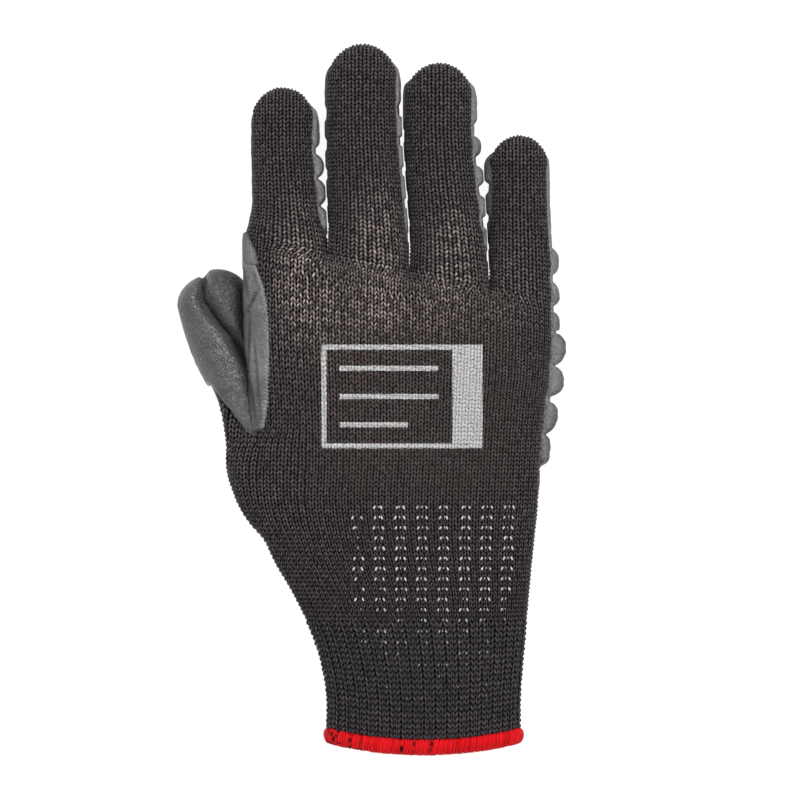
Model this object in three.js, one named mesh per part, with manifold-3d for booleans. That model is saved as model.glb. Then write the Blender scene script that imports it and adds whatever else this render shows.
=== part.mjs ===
// Anti-vibration work glove for a right hand, in millimetres, lying palm down with its back up (+Z).
// Fingers point along +Y and the thumb side is at -X. A seamless knitted liner (hand, wrist cuff, four
// finger stalls and a thumb root) carries a moulded rubber coat: a ribbed palm that wraps round both
// sides of the hand, a ribbed coat under each finger and a full sleeve round the folded thumb.
// An overlock hem closes the cuff's edge. The hollow is open from the hem to every fingertip.
import * as THREE from "three";
import { mergeVertices } from "three/addons/utils/BufferGeometryUtils.js";
import Module from "manifold-3d";

const wasm = await Module();
wasm.setup();

// Overall sizes of the liner
const HAND_LENGTH = 164; // hem seam to the line where the fingers begin
const HAND_WIDTH = 106; // across the knuckles
const HAND_DEPTH = 30; // back to palm
const CUFF_LENGTH = 48; // hem seam to the start of the hand's knit
const CUFF_SAG = 3.7; // how far the middle of the cuff's edge hangs below its ends
const PALM_CLEARANCE = 4.9; // palm to the surface that the glove lies on

// Walls and gaps
const KNIT_WALL = 1.2;
const RUBBER_WALL = 1.3;
const SEAT_GAP = 0.3; // between two pieces that touch

// Overlock hem
const HEM_HEIGHT = 5.4;
const HEM_THICKNESS = 3.8;

// Ribs and edges of the rubber coat
const FINGER_RIB_HEIGHT = 2.3;
const FINGER_RIB_LENGTH = 7.4;
const PALM_RIB_HEIGHT = 3.6;
const PALM_RIB_LENGTH = 9.6;
const RIB_SHOULDER = 0.27; // share of a rib's length that each sloping shoulder takes
const FLAP_WIDTH = 10.5; // how far the palm coat wraps over the back of the hand beside the thumb
const EDGE_WRAP = 2.2; // how far it wraps over on the little finger's side
const FINGER_WRAP = 3; // how far a finger's coat wraps over its sides
const COAT_END = 3.4; // a finger's coat stops this far short of the fingertip
const COAT_TAPER = 9; // and narrows over this length before it
const TIP_DRAWBACK = 0.25; // share of the half girth that each side of a coat has drawn back there
const COAT_EDGE = 0.6; // thinnest rubber between two fingers
const TIP_PRESS = 1.1; // how far a fingertip's pad is pressed flat
const SIDE_THINNING = 0.3; // share of a finger rib's height that it loses at its sides
const COAT_CORE = 1.5; // how far a coat's blank runs into the knit before the knit's space is cut out

// Finger sizes. FINGERS gives each finger's own share of them
const FINGER_LENGTH = 75.8; // the middle finger's, from the line where the fingers begin
const FINGER_WIDTH = 24.6;
const FINGER_DEPTH = 20;
const PAD_LENGTH = 21.5; // of the smooth pad under a fingertip
const RIB_PITCH = 10.7; // spacing of the ribs below the pad

// Thumb sizes, over its rubber sleeve
const THUMB_LENGTH = 96; // root inside the palm to the tip
const THUMB_WIDTH = 25.6;
const THUMB_DEPTH = 17;
const THUMB_LIFT = 9; // middle of the thumb's end above the surface
const STUB_OVERLAP = 6; // how far the knitted root runs up inside the sleeve

// The hem seam lies at y = 0 and the middle line of the hand at x = 0
const HAND_MIDDLE_Z = PALM_CLEARANCE + HAND_DEPTH / 2;

// Sections of the hand from the hem to the finger line. leftY and rightY are shares of HAND_LENGTH
// from the hem, leftX and rightX shares of HAND_WIDTH from the middle, midZ a share of HAND_MIDDLE_Z,
// depth a share of HAND_DEPTH, and power is the superellipse exponent.
const HAND_SECTIONS = [
  { leftY: 0.0, rightY: 0.0, leftX: -0.242, rightX: 0.395, midZ: 0.71, depth: 0.74, power: 2.2 },
  { leftY: 0.081, rightY: 0.081, leftX: -0.245, rightX: 0.398, midZ: 0.72, depth: 0.75, power: 2.2 },
  { leftY: 0.179, rightY: 0.179, leftX: -0.279, rightX: 0.409, midZ: 0.76, depth: 0.8, power: 2.3 },
  { leftY: 0.276, rightY: 0.276, leftX: -0.347, rightX: 0.422, midZ: 0.81, depth: 0.87, power: 2.4 },
  { leftY: 0.374, rightY: 0.374, leftX: -0.43, rightX: 0.436, midZ: 0.87, depth: 0.93, power: 2.4 },
  { leftY: 0.471, rightY: 0.471, leftX: -0.475, rightX: 0.451, midZ: 0.93, depth: 0.98, power: 2.5 },
  { leftY: 0.575, rightY: 0.575, leftX: -0.472, rightX: 0.459, midZ: 0.98, depth: 1.0, power: 2.5 },
  { leftY: 0.709, rightY: 0.679, leftX: -0.483, rightX: 0.474, midZ: 1.0, depth: 1.0, power: 2.5 },
  { leftY: 0.843, rightY: 0.746, leftX: -0.497, rightX: 0.489, midZ: 1.0, depth: 1.0, power: 2.5 },
  { leftY: 0.99, rightY: 0.845, leftX: -0.503, rightX: 0.498, midZ: 0.96, depth: 0.955, power: 2.5 },
  { leftY: 1.05, rightY: 0.915, leftX: -0.505, rightX: 0.5, midZ: 0.91, depth: 0.89, power: 2.5 },
];
const CROTCH_ROW = HAND_SECTIONS.length - 1;
const HEEL_END_ROW = 6.5; // the heel of the hand ends here and the knuckles begin
const SPLIT_ROW = CROTCH_ROW - 1; // the knuckles end here and the finger stalls begin
const GROOVE_ROW = SPLIT_ROW - 0.6; // where the grooves between the fingers start
const SAG_ROWS = 3; // the hem's sag fades out over these rows

// Fingers, in shares of the finger sizes above. lift is the finger's middle at its base as a share of
// HAND_MIDDLE_Z, lean moves the tip sideways by a share of FINGER_LENGTH, gapAfter is the next crotch
// as a share of HAND_WIDTH from the middle, and the wraps are shares of FINGER_WRAP.
const FINGERS = [
  {
    name: "index", length: 0.722, width: 0.886, depth: 0.93, lift: 0.9, lean: -0.022, gapAfter: -0.243,
    pad: 0.953, pitch: 0.85, ribs: 5, leftWrap: -0.7, rightWrap: 1,
  },
  {
    name: "middle", length: 1, width: 1, depth: 1, lift: 0.95, lean: -0.025, gapAfter: 0.028,
    pad: 1, pitch: 1, ribs: 6, leftWrap: 0.2, rightWrap: 1,
  },
  {
    name: "ring", length: 0.991, width: 0.959, depth: 0.98, lift: 0.95, lean: -0.045, gapAfter: 0.292,
    pad: 0.977, pitch: 0.953, ribs: 6, leftWrap: 0.9, rightWrap: 1,
  },
  {
    name: "little", length: 0.724, width: 0.829, depth: 0.87, lift: 0.88, lean: -0.004, gapAfter: 0.5,
    pad: 0.767, pitch: 0.925, ribs: 5, leftWrap: 0.9, rightWrap: 0.9,
  },
].map((finger) => ({
  ...finger,
  length: finger.length * FINGER_LENGTH,
  width: finger.width * FINGER_WIDTH,
  depth: finger.depth * FINGER_DEPTH,
  lean: finger.lean * FINGER_LENGTH,
  pad: finger.pad * PAD_LENGTH,
  pitch: finger.pitch * RIB_PITCH,
}));
// A finger from the finger line (0) to the start of its rounded tip (1): shares of width and depth
const FINGER_FORM = [
  { along: 0.0, width: 1.15, depth: 1.14 },
  { along: 0.28, width: 1.06, depth: 1.05 },
  { along: 0.62, width: 1.0, depth: 1.0 },
  { along: 1.0, width: 0.98, depth: 0.94 },
];
const TIP_ROUND = 0.52; // length of the rounded tip as a share of the finger's width

// The folded thumb, root to tip. along and across are shares of THUMB_LENGTH, lift of THUMB_LIFT,
// width and depth of the thumb's own. groove is the depth of the lengthwise fold as a share of the
// half depth, and fold its place across as a share of the half width.
const THUMB_ROOT = { x: -0.321 * HAND_WIDTH, y: 0.38 * HAND_LENGTH };
const THUMB_SECTIONS = [
  { along: 0.0, across: 0.0, lift: 1.95, width: 0.86, depth: 1.2, groove: 0.0, fold: 0.9 },
  { along: 0.13, across: -0.073, lift: 1.85, width: 1.12, depth: 1.2, groove: 0.0, fold: 0.9 },
  { along: 0.255, across: -0.128, lift: 1.75, width: 1.1, depth: 1.2, groove: 0.0, fold: 0.9 },
  { along: 0.41, across: -0.182, lift: 1.6, width: 0.9, depth: 1.15, groove: 0.0, fold: 0.9 },
  { along: 0.54, across: -0.235, lift: 1.35, width: 0.7, depth: 1.1, groove: 0.05, fold: 0.9 },
  { along: 0.65, across: -0.269, lift: 1.16, width: 0.77, depth: 1.05, groove: 0.25, fold: 0.75 },
  { along: 0.745, across: -0.298, lift: 1.04, width: 0.86, depth: 1.0, groove: 0.5, fold: 0.42 },
  { along: 0.83, across: -0.318, lift: 1.0, width: 0.94, depth: 1.0, groove: 0.6, fold: 0.04 },
  { along: 0.915, across: -0.331, lift: 1.0, width: 0.98, depth: 1.0, groove: 0.6, fold: -0.24 },
];
const THUMB_TIP = { along: 1.02, across: -0.345 };
const FOLD_SPREAD = 0.28; // half width of the fold as a share of the thumb's half width
const FOLD_UNDER = 0.25; // share of the fold's depth that the thumb's underside takes
// The sleeve's slanting edge passes these points, in shares of the hand's width, length and depth:
// one outside the thumb, one beside the hand and one under the hand's heel
const SLEEVE_EDGE = [
  { across: -0.623, along: 0.7275, up: 0.467 },
  { across: -0.4745, along: 0.6177, up: 0.667 },
  { across: -0.4906, along: 0.5445, up: 0.067 },
].map((spot) => new THREE.Vector3(spot.across * HAND_WIDTH, spot.along * HAND_LENGTH, spot.up * HAND_DEPTH));

// Palm ribs by the row of their middle, with their height as a share of PALM_RIB_HEIGHT
const PALM_RIBS = [
  { row: 5.5, height: 0.55 },
  { row: 6.1, height: 0.8 },
  { row: 6.85, height: 1.0 },
  { row: 7.72, height: 1.0 },
  { row: 8.5, height: 0.9 },
];
const PALM_COAT_ROW = 5.08; // where the palm coat starts
// Flap over the back of the hand, by row, as a share of FLAP_WIDTH. Below zero the edge lies under the palm
const FLAP_FORM = [
  { row: 5.0, width: -0.9 },
  { row: 6.0, width: -0.5 },
  { row: 6.3, width: 0.1 },
  { row: 6.6, width: 0.42 },
  { row: 7.0, width: 0.68 },
  { row: 7.5, width: 0.86 },
  { row: 8.0, width: 1.0 },
  { row: 8.5, width: 0.82 },
  { row: 9.0, width: 0.45 },
  { row: 10.0, width: 0.28 },
];

// Fineness of the meshes
const CUFF_SIDES = 15;
const LOBE_SIDES = 5;
const STALL_SIDES = 7;
const COAT_SIDES = 7;
const PALM_COAT_SIDES = 18;
const THUMB_SIDES = 20;
const THUMB_RINGS = 13;
const CAP_ANGLES = [0, 32, 57, 76]; // degrees round a tip at which it has a ring
const OVAL_STEPS = 40;
const NORMAL_STEP = 0.02; // share of a section's half, or of the thumb, over which a slope is measured
const MERGE_REACH = 1e-4; // points closer than this are one
const END_RUN = 3; // how far a hollow runs past the open end that it makes

const { clamp, lerp, degToRad } = THREE.MathUtils;
const smooth = (t) => THREE.MathUtils.smoothstep(t, 0, 1);
const range = (count) => Array.from({ length: count }, (_, i) => i);

// Value of a table's column at a place between its rows, with smooth slopes
function tableAt(table, key, column, place) {
  const last = table.length - 1;
  const at = clamp(place, table[0][key], table[last][key]);
  const i = clamp(table.findIndex((row) => row[key] > at) - 1, 0, last - 1);
  const low = at >= table[last][key] ? last - 1 : i;
  const slope = (k) => {
    const [a, b] = [table[Math.max(k - 1, 0)], table[Math.min(k + 1, last)]];
    return (b[column] - a[column]) / (b[key] - a[key]);
  };
  const [from, to] = [table[low], table[low + 1]];
  const span = to[key] - from[key];
  const t = (at - from[key]) / span;
  return (
    (1 + 2 * t) * (1 - t) ** 2 * from[column] +
    t * (1 - t) ** 2 * span * slope(low) +
    t * t * (3 - 2 * t) * to[column] +
    t * t * (t - 1) * span * slope(low + 1)
  );
}

// Cosine and sine round a half circle from its left end (0) to its right end (1), exact at both
const halfCircle = (q) => [-Math.cos(Math.PI * q), Math.sin(Math.PI * q)].map((v) => +v.toFixed(12));

// Half a superellipse: its points from the left end over the top to the right, and the run to each
function halfOval({ halfWidth, halfDepth, power }) {
  const spots = range(OVAL_STEPS + 1).map((k) => {
    const [c, s] = halfCircle(k / OVAL_STEPS);
    return [Math.sign(c) * halfWidth * Math.abs(c) ** (2 / power), halfDepth * s ** (2 / power)];
  });
  const run = [0];
  for (let k = 1; k <= OVAL_STEPS; k++)
    run.push(run[k - 1] + Math.hypot(spots[k][0] - spots[k - 1][0], spots[k][1] - spots[k - 1][1]));
  return { spots, run };
}
// Its point at a share of its length
function ovalPoint({ spots, run }, share) {
  const want = clamp(share, 0, 1) * run[OVAL_STEPS];
  const k = clamp(run.findIndex((length) => length > want) - 1, 0, OVAL_STEPS - 1);
  const low = want >= run[OVAL_STEPS] ? OVAL_STEPS - 1 : k;
  const t = (want - run[low]) / (run[low + 1] - run[low]);
  return [lerp(spots[low][0], spots[low + 1][0], t), lerp(spots[low][1], spots[low + 1][1], t)];
}

// The named sizes of the hand's section at a row, worked out once for each row
const sectionRows = HAND_SECTIONS.map((section, row) => ({ ...section, row }));
const sectionStore = new Map();
function handSection(row) {
  if (!sectionStore.has(row)) {
    const at = (column) => tableAt(sectionRows, "row", column, row);
    const [leftX, rightX] = ["leftX", "rightX"].map((side) => at(side) * HAND_WIDTH);
    const section = {
      leftX,
      rightX,
      leftY: at("leftY") * HAND_LENGTH,
      rightY: at("rightY") * HAND_LENGTH,
      midX: (leftX + rightX) / 2,
      midZ: at("midZ") * HAND_MIDDLE_Z,
      halfWidth: (rightX - leftX) / 2,
      halfDepth: (at("depth") * HAND_DEPTH) / 2,
      power: at("power"),
      sag: CUFF_SAG * (1 - smooth(row / SAG_ROWS)),
    };
    sectionStore.set(row, { ...section, oval: halfOval(section) });
  }
  return sectionStore.get(row);
}
// Where a section's slanting, sagging line lies at some x
function lineY(section, x) {
  const t = (x - section.leftX) / (section.rightX - section.leftX);
  return lerp(section.leftY, section.rightY, t) - section.sag * (1 - (2 * t - 1) ** 2);
}
// Point of the plain hand oval at a row. side is 1 on the back and -1 on the palm
function handOval(row, side, share) {
  const section = handSection(row);
  const [dx, dz] = ovalPoint(section.oval, share);
  const x = section.midX + dx;
  return new THREE.Vector3(x, lineY(section, x), section.midZ + side * dz);
}

// Share of the half oval's length at some x of the finger line
function shareAtX(x) {
  let [low, high] = [0, 1];
  for (const _ of range(30)) {
    const half = (low + high) / 2;
    if (handOval(CROTCH_ROW, 1, half).x < x) low = half;
    else high = half;
  }
  return low;
}
const crotchX = (finger) => FINGERS[finger].gapAfter * HAND_WIDTH;
// The hand's back and palm are each divided into one lobe for each finger, at these shares
const LOBE_ENDS = [0, ...range(FINGERS.length - 1).map((finger) => shareAtX(crotchX(finger))), 1];

// Middle and half sizes of a finger's base at a row near the finger line
function lobeFrame(row, finger) {
  const section = handSection(row);
  const [left, right] = [0, 1].map((end) => handOval(row, 1, LOBE_ENDS[finger + end]).x);
  return {
    section,
    x: (left + right) / 2,
    z: section.midZ + (FINGERS[finger].lift * HAND_MIDDLE_Z - handSection(CROTCH_ROW).midZ),
    halfWidth: (right - left) / 2,
    halfDepth: (FINGER_FORM[0].depth * FINGERS[finger].depth) / 2,
  };
}
function lobePoint(row, finger, side, q) {
  const f = lobeFrame(row, finger);
  const [across, up] = halfCircle(q);
  const x = f.x + f.halfWidth * across;
  return new THREE.Vector3(x, lineY(f.section, x), f.z + side * f.halfDepth * up);
}
// The hand's skin at a share of its back or palm: the plain oval that turns into the finger lobes.
// A share below 0 or above 1 runs round onto the other side.
function handSkin(row, side, share) {
  if (share < 0) return handSkin(row, -side, -share);
  if (share > 1) return handSkin(row, -side, 2 - share);
  const blend = smooth((row - GROOVE_ROW) / (CROTCH_ROW - GROOVE_ROW));
  const plain = handOval(row, side, share);
  if (blend === 0) return plain;
  const finger = clamp(LOBE_ENDS.findIndex((end) => end > share) - 1, 0, FINGERS.length - 1);
  const lobe = share >= 1 ? FINGERS.length - 1 : finger;
  const q = (share - LOBE_ENDS[lobe]) / (LOBE_ENDS[lobe + 1] - LOBE_ENDS[lobe]);
  return plain.lerp(lobePoint(row, lobe, side, q), blend);
}
// The same, moved out of the skin by some distance within its section
function handSkinOut(row, side, share, grow) {
  const before = handSkin(row, side, share - NORMAL_STEP);
  const after = handSkin(row, side, share + NORMAL_STEP);
  const out = new THREE.Vector2(before.z - after.z, after.x - before.x).normalize();
  const point = handSkin(row, side, share);
  return point.add(new THREE.Vector3(out.x, 0, out.y).multiplyScalar(side * grow));
}

// Height of a fingertip's middle: its pad is pressed a little flat on the surface
function tipHeight(finger) {
  const halfDepth = (FINGER_FORM.at(-1).depth * FINGERS[finger].depth) / 2;
  return halfDepth + SEAT_GAP + RUBBER_WALL + FINGER_RIB_HEIGHT - TIP_PRESS;
}
// Middle and half sizes of a finger at a length from the finger line, grown by some distance
function fingerFrame(finger, length, grow = 0) {
  const f = FINGERS[finger];
  const base = lobeFrame(CROTCH_ROW, finger);
  const round = TIP_ROUND * f.width;
  const shank = f.length - round;
  const at = clamp(length, 0, f.length);
  const along = Math.min(at / shank, 1);
  const into = clamp((at - shank) / round, 0, 1);
  const cap = Math.sqrt(1 - into * into);
  const form = (column) => tableAt(FINGER_FORM, "along", column, along);
  const widen = lerp(base.halfWidth / (FINGER_FORM[0].width * f.width * 0.5), 1, smooth(along * 3));
  const { leftY, rightY, halfWidth } = handSection(CROTCH_ROW);
  return {
    x: base.x + f.lean * smooth((1.4 * at) / f.length),
    y: lineY(base.section, base.x) + at + grow * into,
    z: lerp(base.z, tipHeight(finger), smooth(at / f.length)),
    halfWidth: (form("width") * widen * f.width * 0.5 + grow) * cap,
    halfDepth: (form("depth") * f.depth * 0.5 + grow) * cap,
    slant: ((rightY - leftY) / (2 * halfWidth)) * (1 - smooth(along * 2)),
  };
}
function fingerSkin(finger, length, side, q, grow = 0) {
  const f = fingerFrame(finger, length, grow);
  const [across, up] = halfCircle(q);
  const dx = f.halfWidth * across;
  return new THREE.Vector3(f.x + dx, f.y + f.slant * dx, f.z + side * f.halfDepth * up);
}
// A finger's skin from the web in the hand (negative lengths) over the finger line (0) to the tip
const webLength = (finger) => {
  const x = lobeFrame(CROTCH_ROW, finger).x;
  return lineY(handSection(CROTCH_ROW), x) - lineY(handSection(SPLIT_ROW), x);
};
function stallSkin(finger, length, side, q, grow = 0) {
  if (length >= 0) return fingerSkin(finger, length, side, q, grow);
  const row = CROTCH_ROW + length / webLength(finger);
  return handSkinOut(row, side, lerp(LOBE_ENDS[finger], LOBE_ENDS[finger + 1], q), grow);
}

// Points round a section: over the back from left to right, then under the palm from right to left
const roundSection = (point, shares) => [
  ...shares.map((share) => point(1, share)),
  ...shares.toReversed().map((share) => point(-1, share)),
];
const middles = (count) => range(count).map((k) => (k + 0.5) / count);
const ends = (count) => range(count + 1).map((k) => k / count);

// Moves each point of a section sideways in its own plane, outwards where the distance is positive
function offsetRing(ring, distance) {
  const n = ring.length;
  const outOf = (a, b) => new THREE.Vector2(a.z - b.z, b.x - a.x).normalize();
  const beside = (i, step) => {
    let k = (i + step + n) % n;
    while (ring[k].distanceTo(ring[i]) < MERGE_REACH) k = (k + step + n) % n;
    return ring[k];
  };
  return ring.map((p, i) => {
    const out = outOf(beside(i, -1), p).add(outOf(p, beside(i, 1))).normalize();
    return new THREE.Vector3(p.x + out.x * distance, p.y, p.z + out.y * distance);
  });
}
const shiftRing = (ring, y) => ring.map((p) => new THREE.Vector3(p.x, p.y + y, p.z));

// Faces between two rings of a point list, each of n points, from the lower ring to the upper
function band(n, lower, upper) {
  return range(n).flatMap((i) => {
    const [a, b] = [lower * n + i, lower * n + ((i + 1) % n)];
    const [c, d] = [upper * n + ((i + 1) % n), upper * n + i];
    return [[a, b, c], [a, c, d]];
  });
}
// Faces that close a ring, looking along -Y, or along +Y where it is the last ring
function capFaces(ring, first, isLast) {
  const flat = ring.map((p) => new THREE.Vector2(p.x, p.z));
  return THREE.ShapeUtils.triangulateShape(flat, []).map(([a, b, c]) => {
    const turnsLeft = THREE.ShapeUtils.area([flat[a], flat[b], flat[c]]) > 0;
    const face = turnsLeft !== isLast ? [a, b, c] : [a, c, b];
    return face.map((k) => k + first);
  });
}

// A solid of manifold-3d from points and faces. Faces that have shrunk to a line are left out
function solid(points, faces) {
  const geometry = new THREE.BufferGeometry().setFromPoints(points).setIndex(faces.flat());
  const merged = mergeVertices(geometry, MERGE_REACH);
  const index = Array.from(merged.index.array);
  const triVerts = range(index.length / 3)
    .map((k) => index.slice(3 * k, 3 * k + 3))
    .filter(([a, b, c]) => a !== b && b !== c && c !== a);
  const mesh = new wasm.Mesh({
    numProp: 3,
    vertProperties: merged.attributes.position.array,
    triVerts: Uint32Array.from(triVerts.flat()),
  });
  return new wasm.Manifold(mesh);
}
// A closed body over rings of equal count, with flat ends or a pole at its last end
function loft(rings, pole) {
  const n = rings[0].length;
  const points = rings.flat();
  const faces = range(rings.length - 1).flatMap((r) => band(n, r, r + 1));
  const top = (rings.length - 1) * n;
  faces.push(...capFaces(rings[0], 0, false));
  if (!pole) return solid(points, [...faces, ...capFaces(rings.at(-1), top, true)]);
  const last = range(n).map((i) => [top + i, top + ((i + 1) % n), points.length]);
  return solid([...points, pole], [...faces, ...last]);
}
// A wall between outer and inner rings. It is open at its first end, and at its last one too
// unless the walls close there at an outer and an inner pole.
function wallOf(outer, inner, poles) {
  const n = outer[0].length;
  const rings = [...outer, ...inner.toReversed()];
  const turn = outer.length - 1;
  const faces = range(rings.length)
    .filter((r) => !poles || r !== turn)
    .flatMap((r) => band(n, r, (r + 1) % rings.length));
  const points = rings.flat();
  if (!poles) return solid(points, faces);
  const [out, inside] = [points.length, points.length + 1];
  for (const i of range(n)) {
    const next = (i + 1) % n;
    faces.push([turn * n + i, turn * n + next, out], [(turn + 1) * n + next, (turn + 1) * n + i, inside]);
  }
  return solid([...points, ...poles], faces);
}
// All space ahead of a plane through a point, as a large block
function ahead(point, normal) {
  const size = 4 * (HAND_LENGTH + HAND_WIDTH);
  const box = new THREE.BoxGeometry(size, size, size).translate(0, 0, size / 2);
  box.applyQuaternion(new THREE.Quaternion().setFromUnitVectors(new THREE.Vector3(0, 0, 1), normal));
  box.translate(point.x, point.y, point.z);
  const corners = range(box.attributes.position.count).map((i) =>
    new THREE.Vector3().fromBufferAttribute(box.attributes.position, i));
  const index = Array.from(box.index.array);
  return solid(corners, range(index.length / 3).map((k) => index.slice(3 * k, 3 * k + 3)));
}
const onSurface = (body) => body.subtract(ahead(new THREE.Vector3(0, 0, 0), new THREE.Vector3(0, 0, -1)));

// Row of the hand at a length above the hem seam
function rowAt(length) {
  let [low, high] = [0, SPLIT_ROW];
  for (const _ of range(30)) {
    const half = (low + high) / 2;
    if (handSection(half).rightY < length) low = half;
    else high = half;
  }
  return low;
}
const CUFF_ROW = rowAt(CUFF_LENGTH);

// The thumb's section at a place along it: an oval with the lengthwise fold pressed into its back
function thumbRing(place, grow) {
  const last = THUMB_SECTIONS.at(-1).along;
  const at = (column, spot = place) => tableAt(THUMB_SECTIONS, "along", column, Math.min(spot, last));
  const into = clamp((place - last) / (THUMB_TIP.along - last), 0, 1);
  const cap = Math.sqrt(1 - into * into);
  const lean = (at("across", Math.min(place, last) - NORMAL_STEP) - at("across")) / NORMAL_STEP;
  const middle = new THREE.Vector3(
    THUMB_ROOT.x + lerp(at("across"), THUMB_TIP.across, into) * THUMB_LENGTH,
    THUMB_ROOT.y + place * THUMB_LENGTH + grow * into,
    at("lift") * THUMB_LIFT,
  );
  const sideways = new THREE.Vector3(1, lean, 0).normalize();
  const halfWidth = (at("width") * THUMB_WIDTH * 0.5 + grow) * cap;
  const halfDepth = (at("depth") * THUMB_DEPTH * 0.5 + grow) * cap;
  return roundSection((side, share) => {
    const [across, up] = halfCircle(share);
    const dip = at("groove") * Math.exp(-(((across - at("fold")) / FOLD_SPREAD) ** 2));
    const point = middle.clone().addScaledVector(sideways, across * halfWidth);
    point.z += side * up * halfDepth * (1 - (side > 0 ? dip : dip * FOLD_UNDER));
    return point;
  }, middles(THUMB_SIDES / 2));
}
function thumbTube(grow) {
  const last = THUMB_SECTIONS.at(-1).along;
  const shank = range(THUMB_RINGS + 1).map((k) => (last * k) / THUMB_RINGS);
  const tip = CAP_ANGLES.slice(1).map((a) => lerp(last, THUMB_TIP.along, Math.sin(degToRad(a))));
  const rings = [...shank, ...tip].map((place) => thumbRing(place, grow));
  return loft(rings, thumbRing(THUMB_TIP.along, grow)[0]);
}
const sleeveEdge = new THREE.Plane().setFromCoplanarPoints(...SLEEVE_EDGE);
if (sleeveEdge.normal.y < 0) sleeveEdge.negate();
const beyondSleeveEdge = (shift) =>
  ahead(SLEEVE_EDGE[1].clone().addScaledVector(sleeveEdge.normal, shift), sleeveEdge.normal);

// Rings of the hand's knit at rows, moved out of its skin
const lobeShares = (sides) =>
  FINGERS.flatMap((_, i) => middles(sides).map((q) => lerp(LOBE_ENDS[i], LOBE_ENDS[i + 1], q)));
const handRing = (row, grow) =>
  offsetRing(roundSection((side, share) => handSkin(row, side, share), lobeShares(LOBE_SIDES)), grow);
const HEEL_ROWS = [CUFF_ROW, 4, 5, 6, HEEL_END_ROW];
const KNUCKLE_ROWS = [HEEL_END_ROW, 7, 7.8, 8.4, SPLIT_ROW];
const handRings = (grow, rows = [...HEEL_ROWS, ...KNUCKLE_ROWS.slice(1)]) =>
  rows.map((row) => handRing(row, grow));
const runOn = (rings) => [shiftRing(rings[0], -END_RUN), ...rings, shiftRing(rings.at(-1), END_RUN)];
const handHollow = () => loft(runOn(handRings(-KNIT_WALL)));

// The thumb's knitted root, grown by some distance, which runs on inside the rubber sleeve
const thumbRoot = (grow, runsOn) =>
  thumbTube(grow - RUBBER_WALL - SEAT_GAP).subtract(beyondSleeveEdge(STUB_OVERLAP + runsOn));
function knitHeel() {
  const heel = loft(handRings(0, HEEL_ROWS)).add(thumbRoot(0, 0));
  return heel.subtract(handHollow()).subtract(thumbRoot(-KNIT_WALL, END_RUN));
}
function knitKnuckles() {
  const rings = handRings(0, KNUCKLE_ROWS);
  rings[0] = shiftRing(rings[0], SEAT_GAP);
  return loft(rings).subtract(handHollow()).subtract(thumbRoot(SEAT_GAP, SEAT_GAP));
}

function knitCuff() {
  const rows = [0, 0.5, 1, 1.6, 2.2, CUFF_ROW];
  const rings = rows.map((row) =>
    roundSection((side, share) => handOval(row, side, share), middles(CUFF_SIDES)));
  rings.push(shiftRing(rings.pop(), -SEAT_GAP));
  return wallOf(rings, rings.map((ring) => offsetRing(ring, -KNIT_WALL)));
}

// The overlock hem: a rounded bead below the cuff's edge, as half its outline from top to bottom
const HEM_OUTLINE = [
  { out: 0.55, up: 1 },
  { out: 1, up: 0.6 },
  { out: 1, up: -0.6 },
  { out: 0.55, up: -1 },
];
function overlockHem() {
  const edge = roundSection((side, share) => handOval(0, side, share), middles(CUFF_SIDES));
  const middle = offsetRing(edge, -KNIT_WALL / 2);
  const ringAt = ({ out, up }, side) =>
    shiftRing(offsetRing(middle, (side * out * HEM_THICKNESS) / 2), ((up - 1) * HEM_HEIGHT) / 2 - SEAT_GAP);
  const upwards = HEM_OUTLINE.toReversed();
  return wallOf(upwards.map((spot) => ringAt(spot, 1)), upwards.map((spot) => ringAt(spot, -1)));
}

// A finger stall's ring at a length from the finger line
function stallRing(finger, length, grow) {
  if (length >= 0)
    return roundSection((side, q) => stallSkin(finger, length, side, q, grow), ends(STALL_SIDES));
  return offsetRing(
    roundSection((side, q) => stallSkin(finger, length, side, q), ends(STALL_SIDES)), grow);
}
function stallLengths(finger) {
  const f = FINGERS[finger];
  const round = TIP_ROUND * f.width;
  const shank = f.length - round;
  return [
    ...[-0.94, -0.5, 0].map((t) => t * webLength(finger)),
    ...[0.13, 0.33, 0.63].map((t) => t * shank),
    ...CAP_ANGLES.map((angle) => shank + round * Math.sin(degToRad(angle))),
  ];
}
const stallRings = (finger, grow) => stallLengths(finger).map((length) => stallRing(finger, length, grow));
const stallPole = (finger, grow) => fingerSkin(finger, FINGERS[finger].length, 1, 0, grow);
function knitFinger(finger) {
  const grows = [-SEAT_GAP / 2, -SEAT_GAP / 2 - KNIT_WALL];
  const [outer, inner] = grows.map((grow) => stallRings(finger, grow));
  return wallOf(outer, inner, grows.map((grow) => stallPole(finger, grow)));
}

// A rib's height at four places along it, in shares of its length from its middle
const RIB_OUTLINE = [
  { at: -0.5, height: 0 },
  { at: RIB_SHOULDER - 0.5, height: 1 },
  { at: 0.5 - RIB_SHOULDER, height: 1 },
  { at: 0.5, height: 0 },
];
// Lengths along a finger's coat and the rib height at each, from the web to the tip
function coatSteps(finger) {
  const f = FINGERS[finger];
  const round = TIP_ROUND * f.width;
  const padStart = f.length - f.pad;
  const start = -0.93 * webLength(finger);
  const ribs = range(f.ribs).toReversed().flatMap((k) => {
    const middle = padStart - (f.pitch - FINGER_RIB_LENGTH) - f.pitch * (k + 0.5);
    return RIB_OUTLINE.map(({ at, height }) => ({ length: middle + at * FINGER_RIB_LENGTH, height }));
  });
  const tipStep = (angle, height) => ({
    length: f.length - round * (1 - Math.sin(degToRad(angle))),
    height,
  });
  return [
    { length: start, height: 0 },
    ...ribs.filter((step) => step.length > start + SEAT_GAP),
    { length: padStart, height: 0 },
    { length: padStart + FINGER_RIB_LENGTH * RIB_SHOULDER, height: 1 },
    tipStep(0, 1),
    tipStep(24, 0.9),
    { length: f.length - COAT_END, height: 0.35 },
  ];
}
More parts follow.
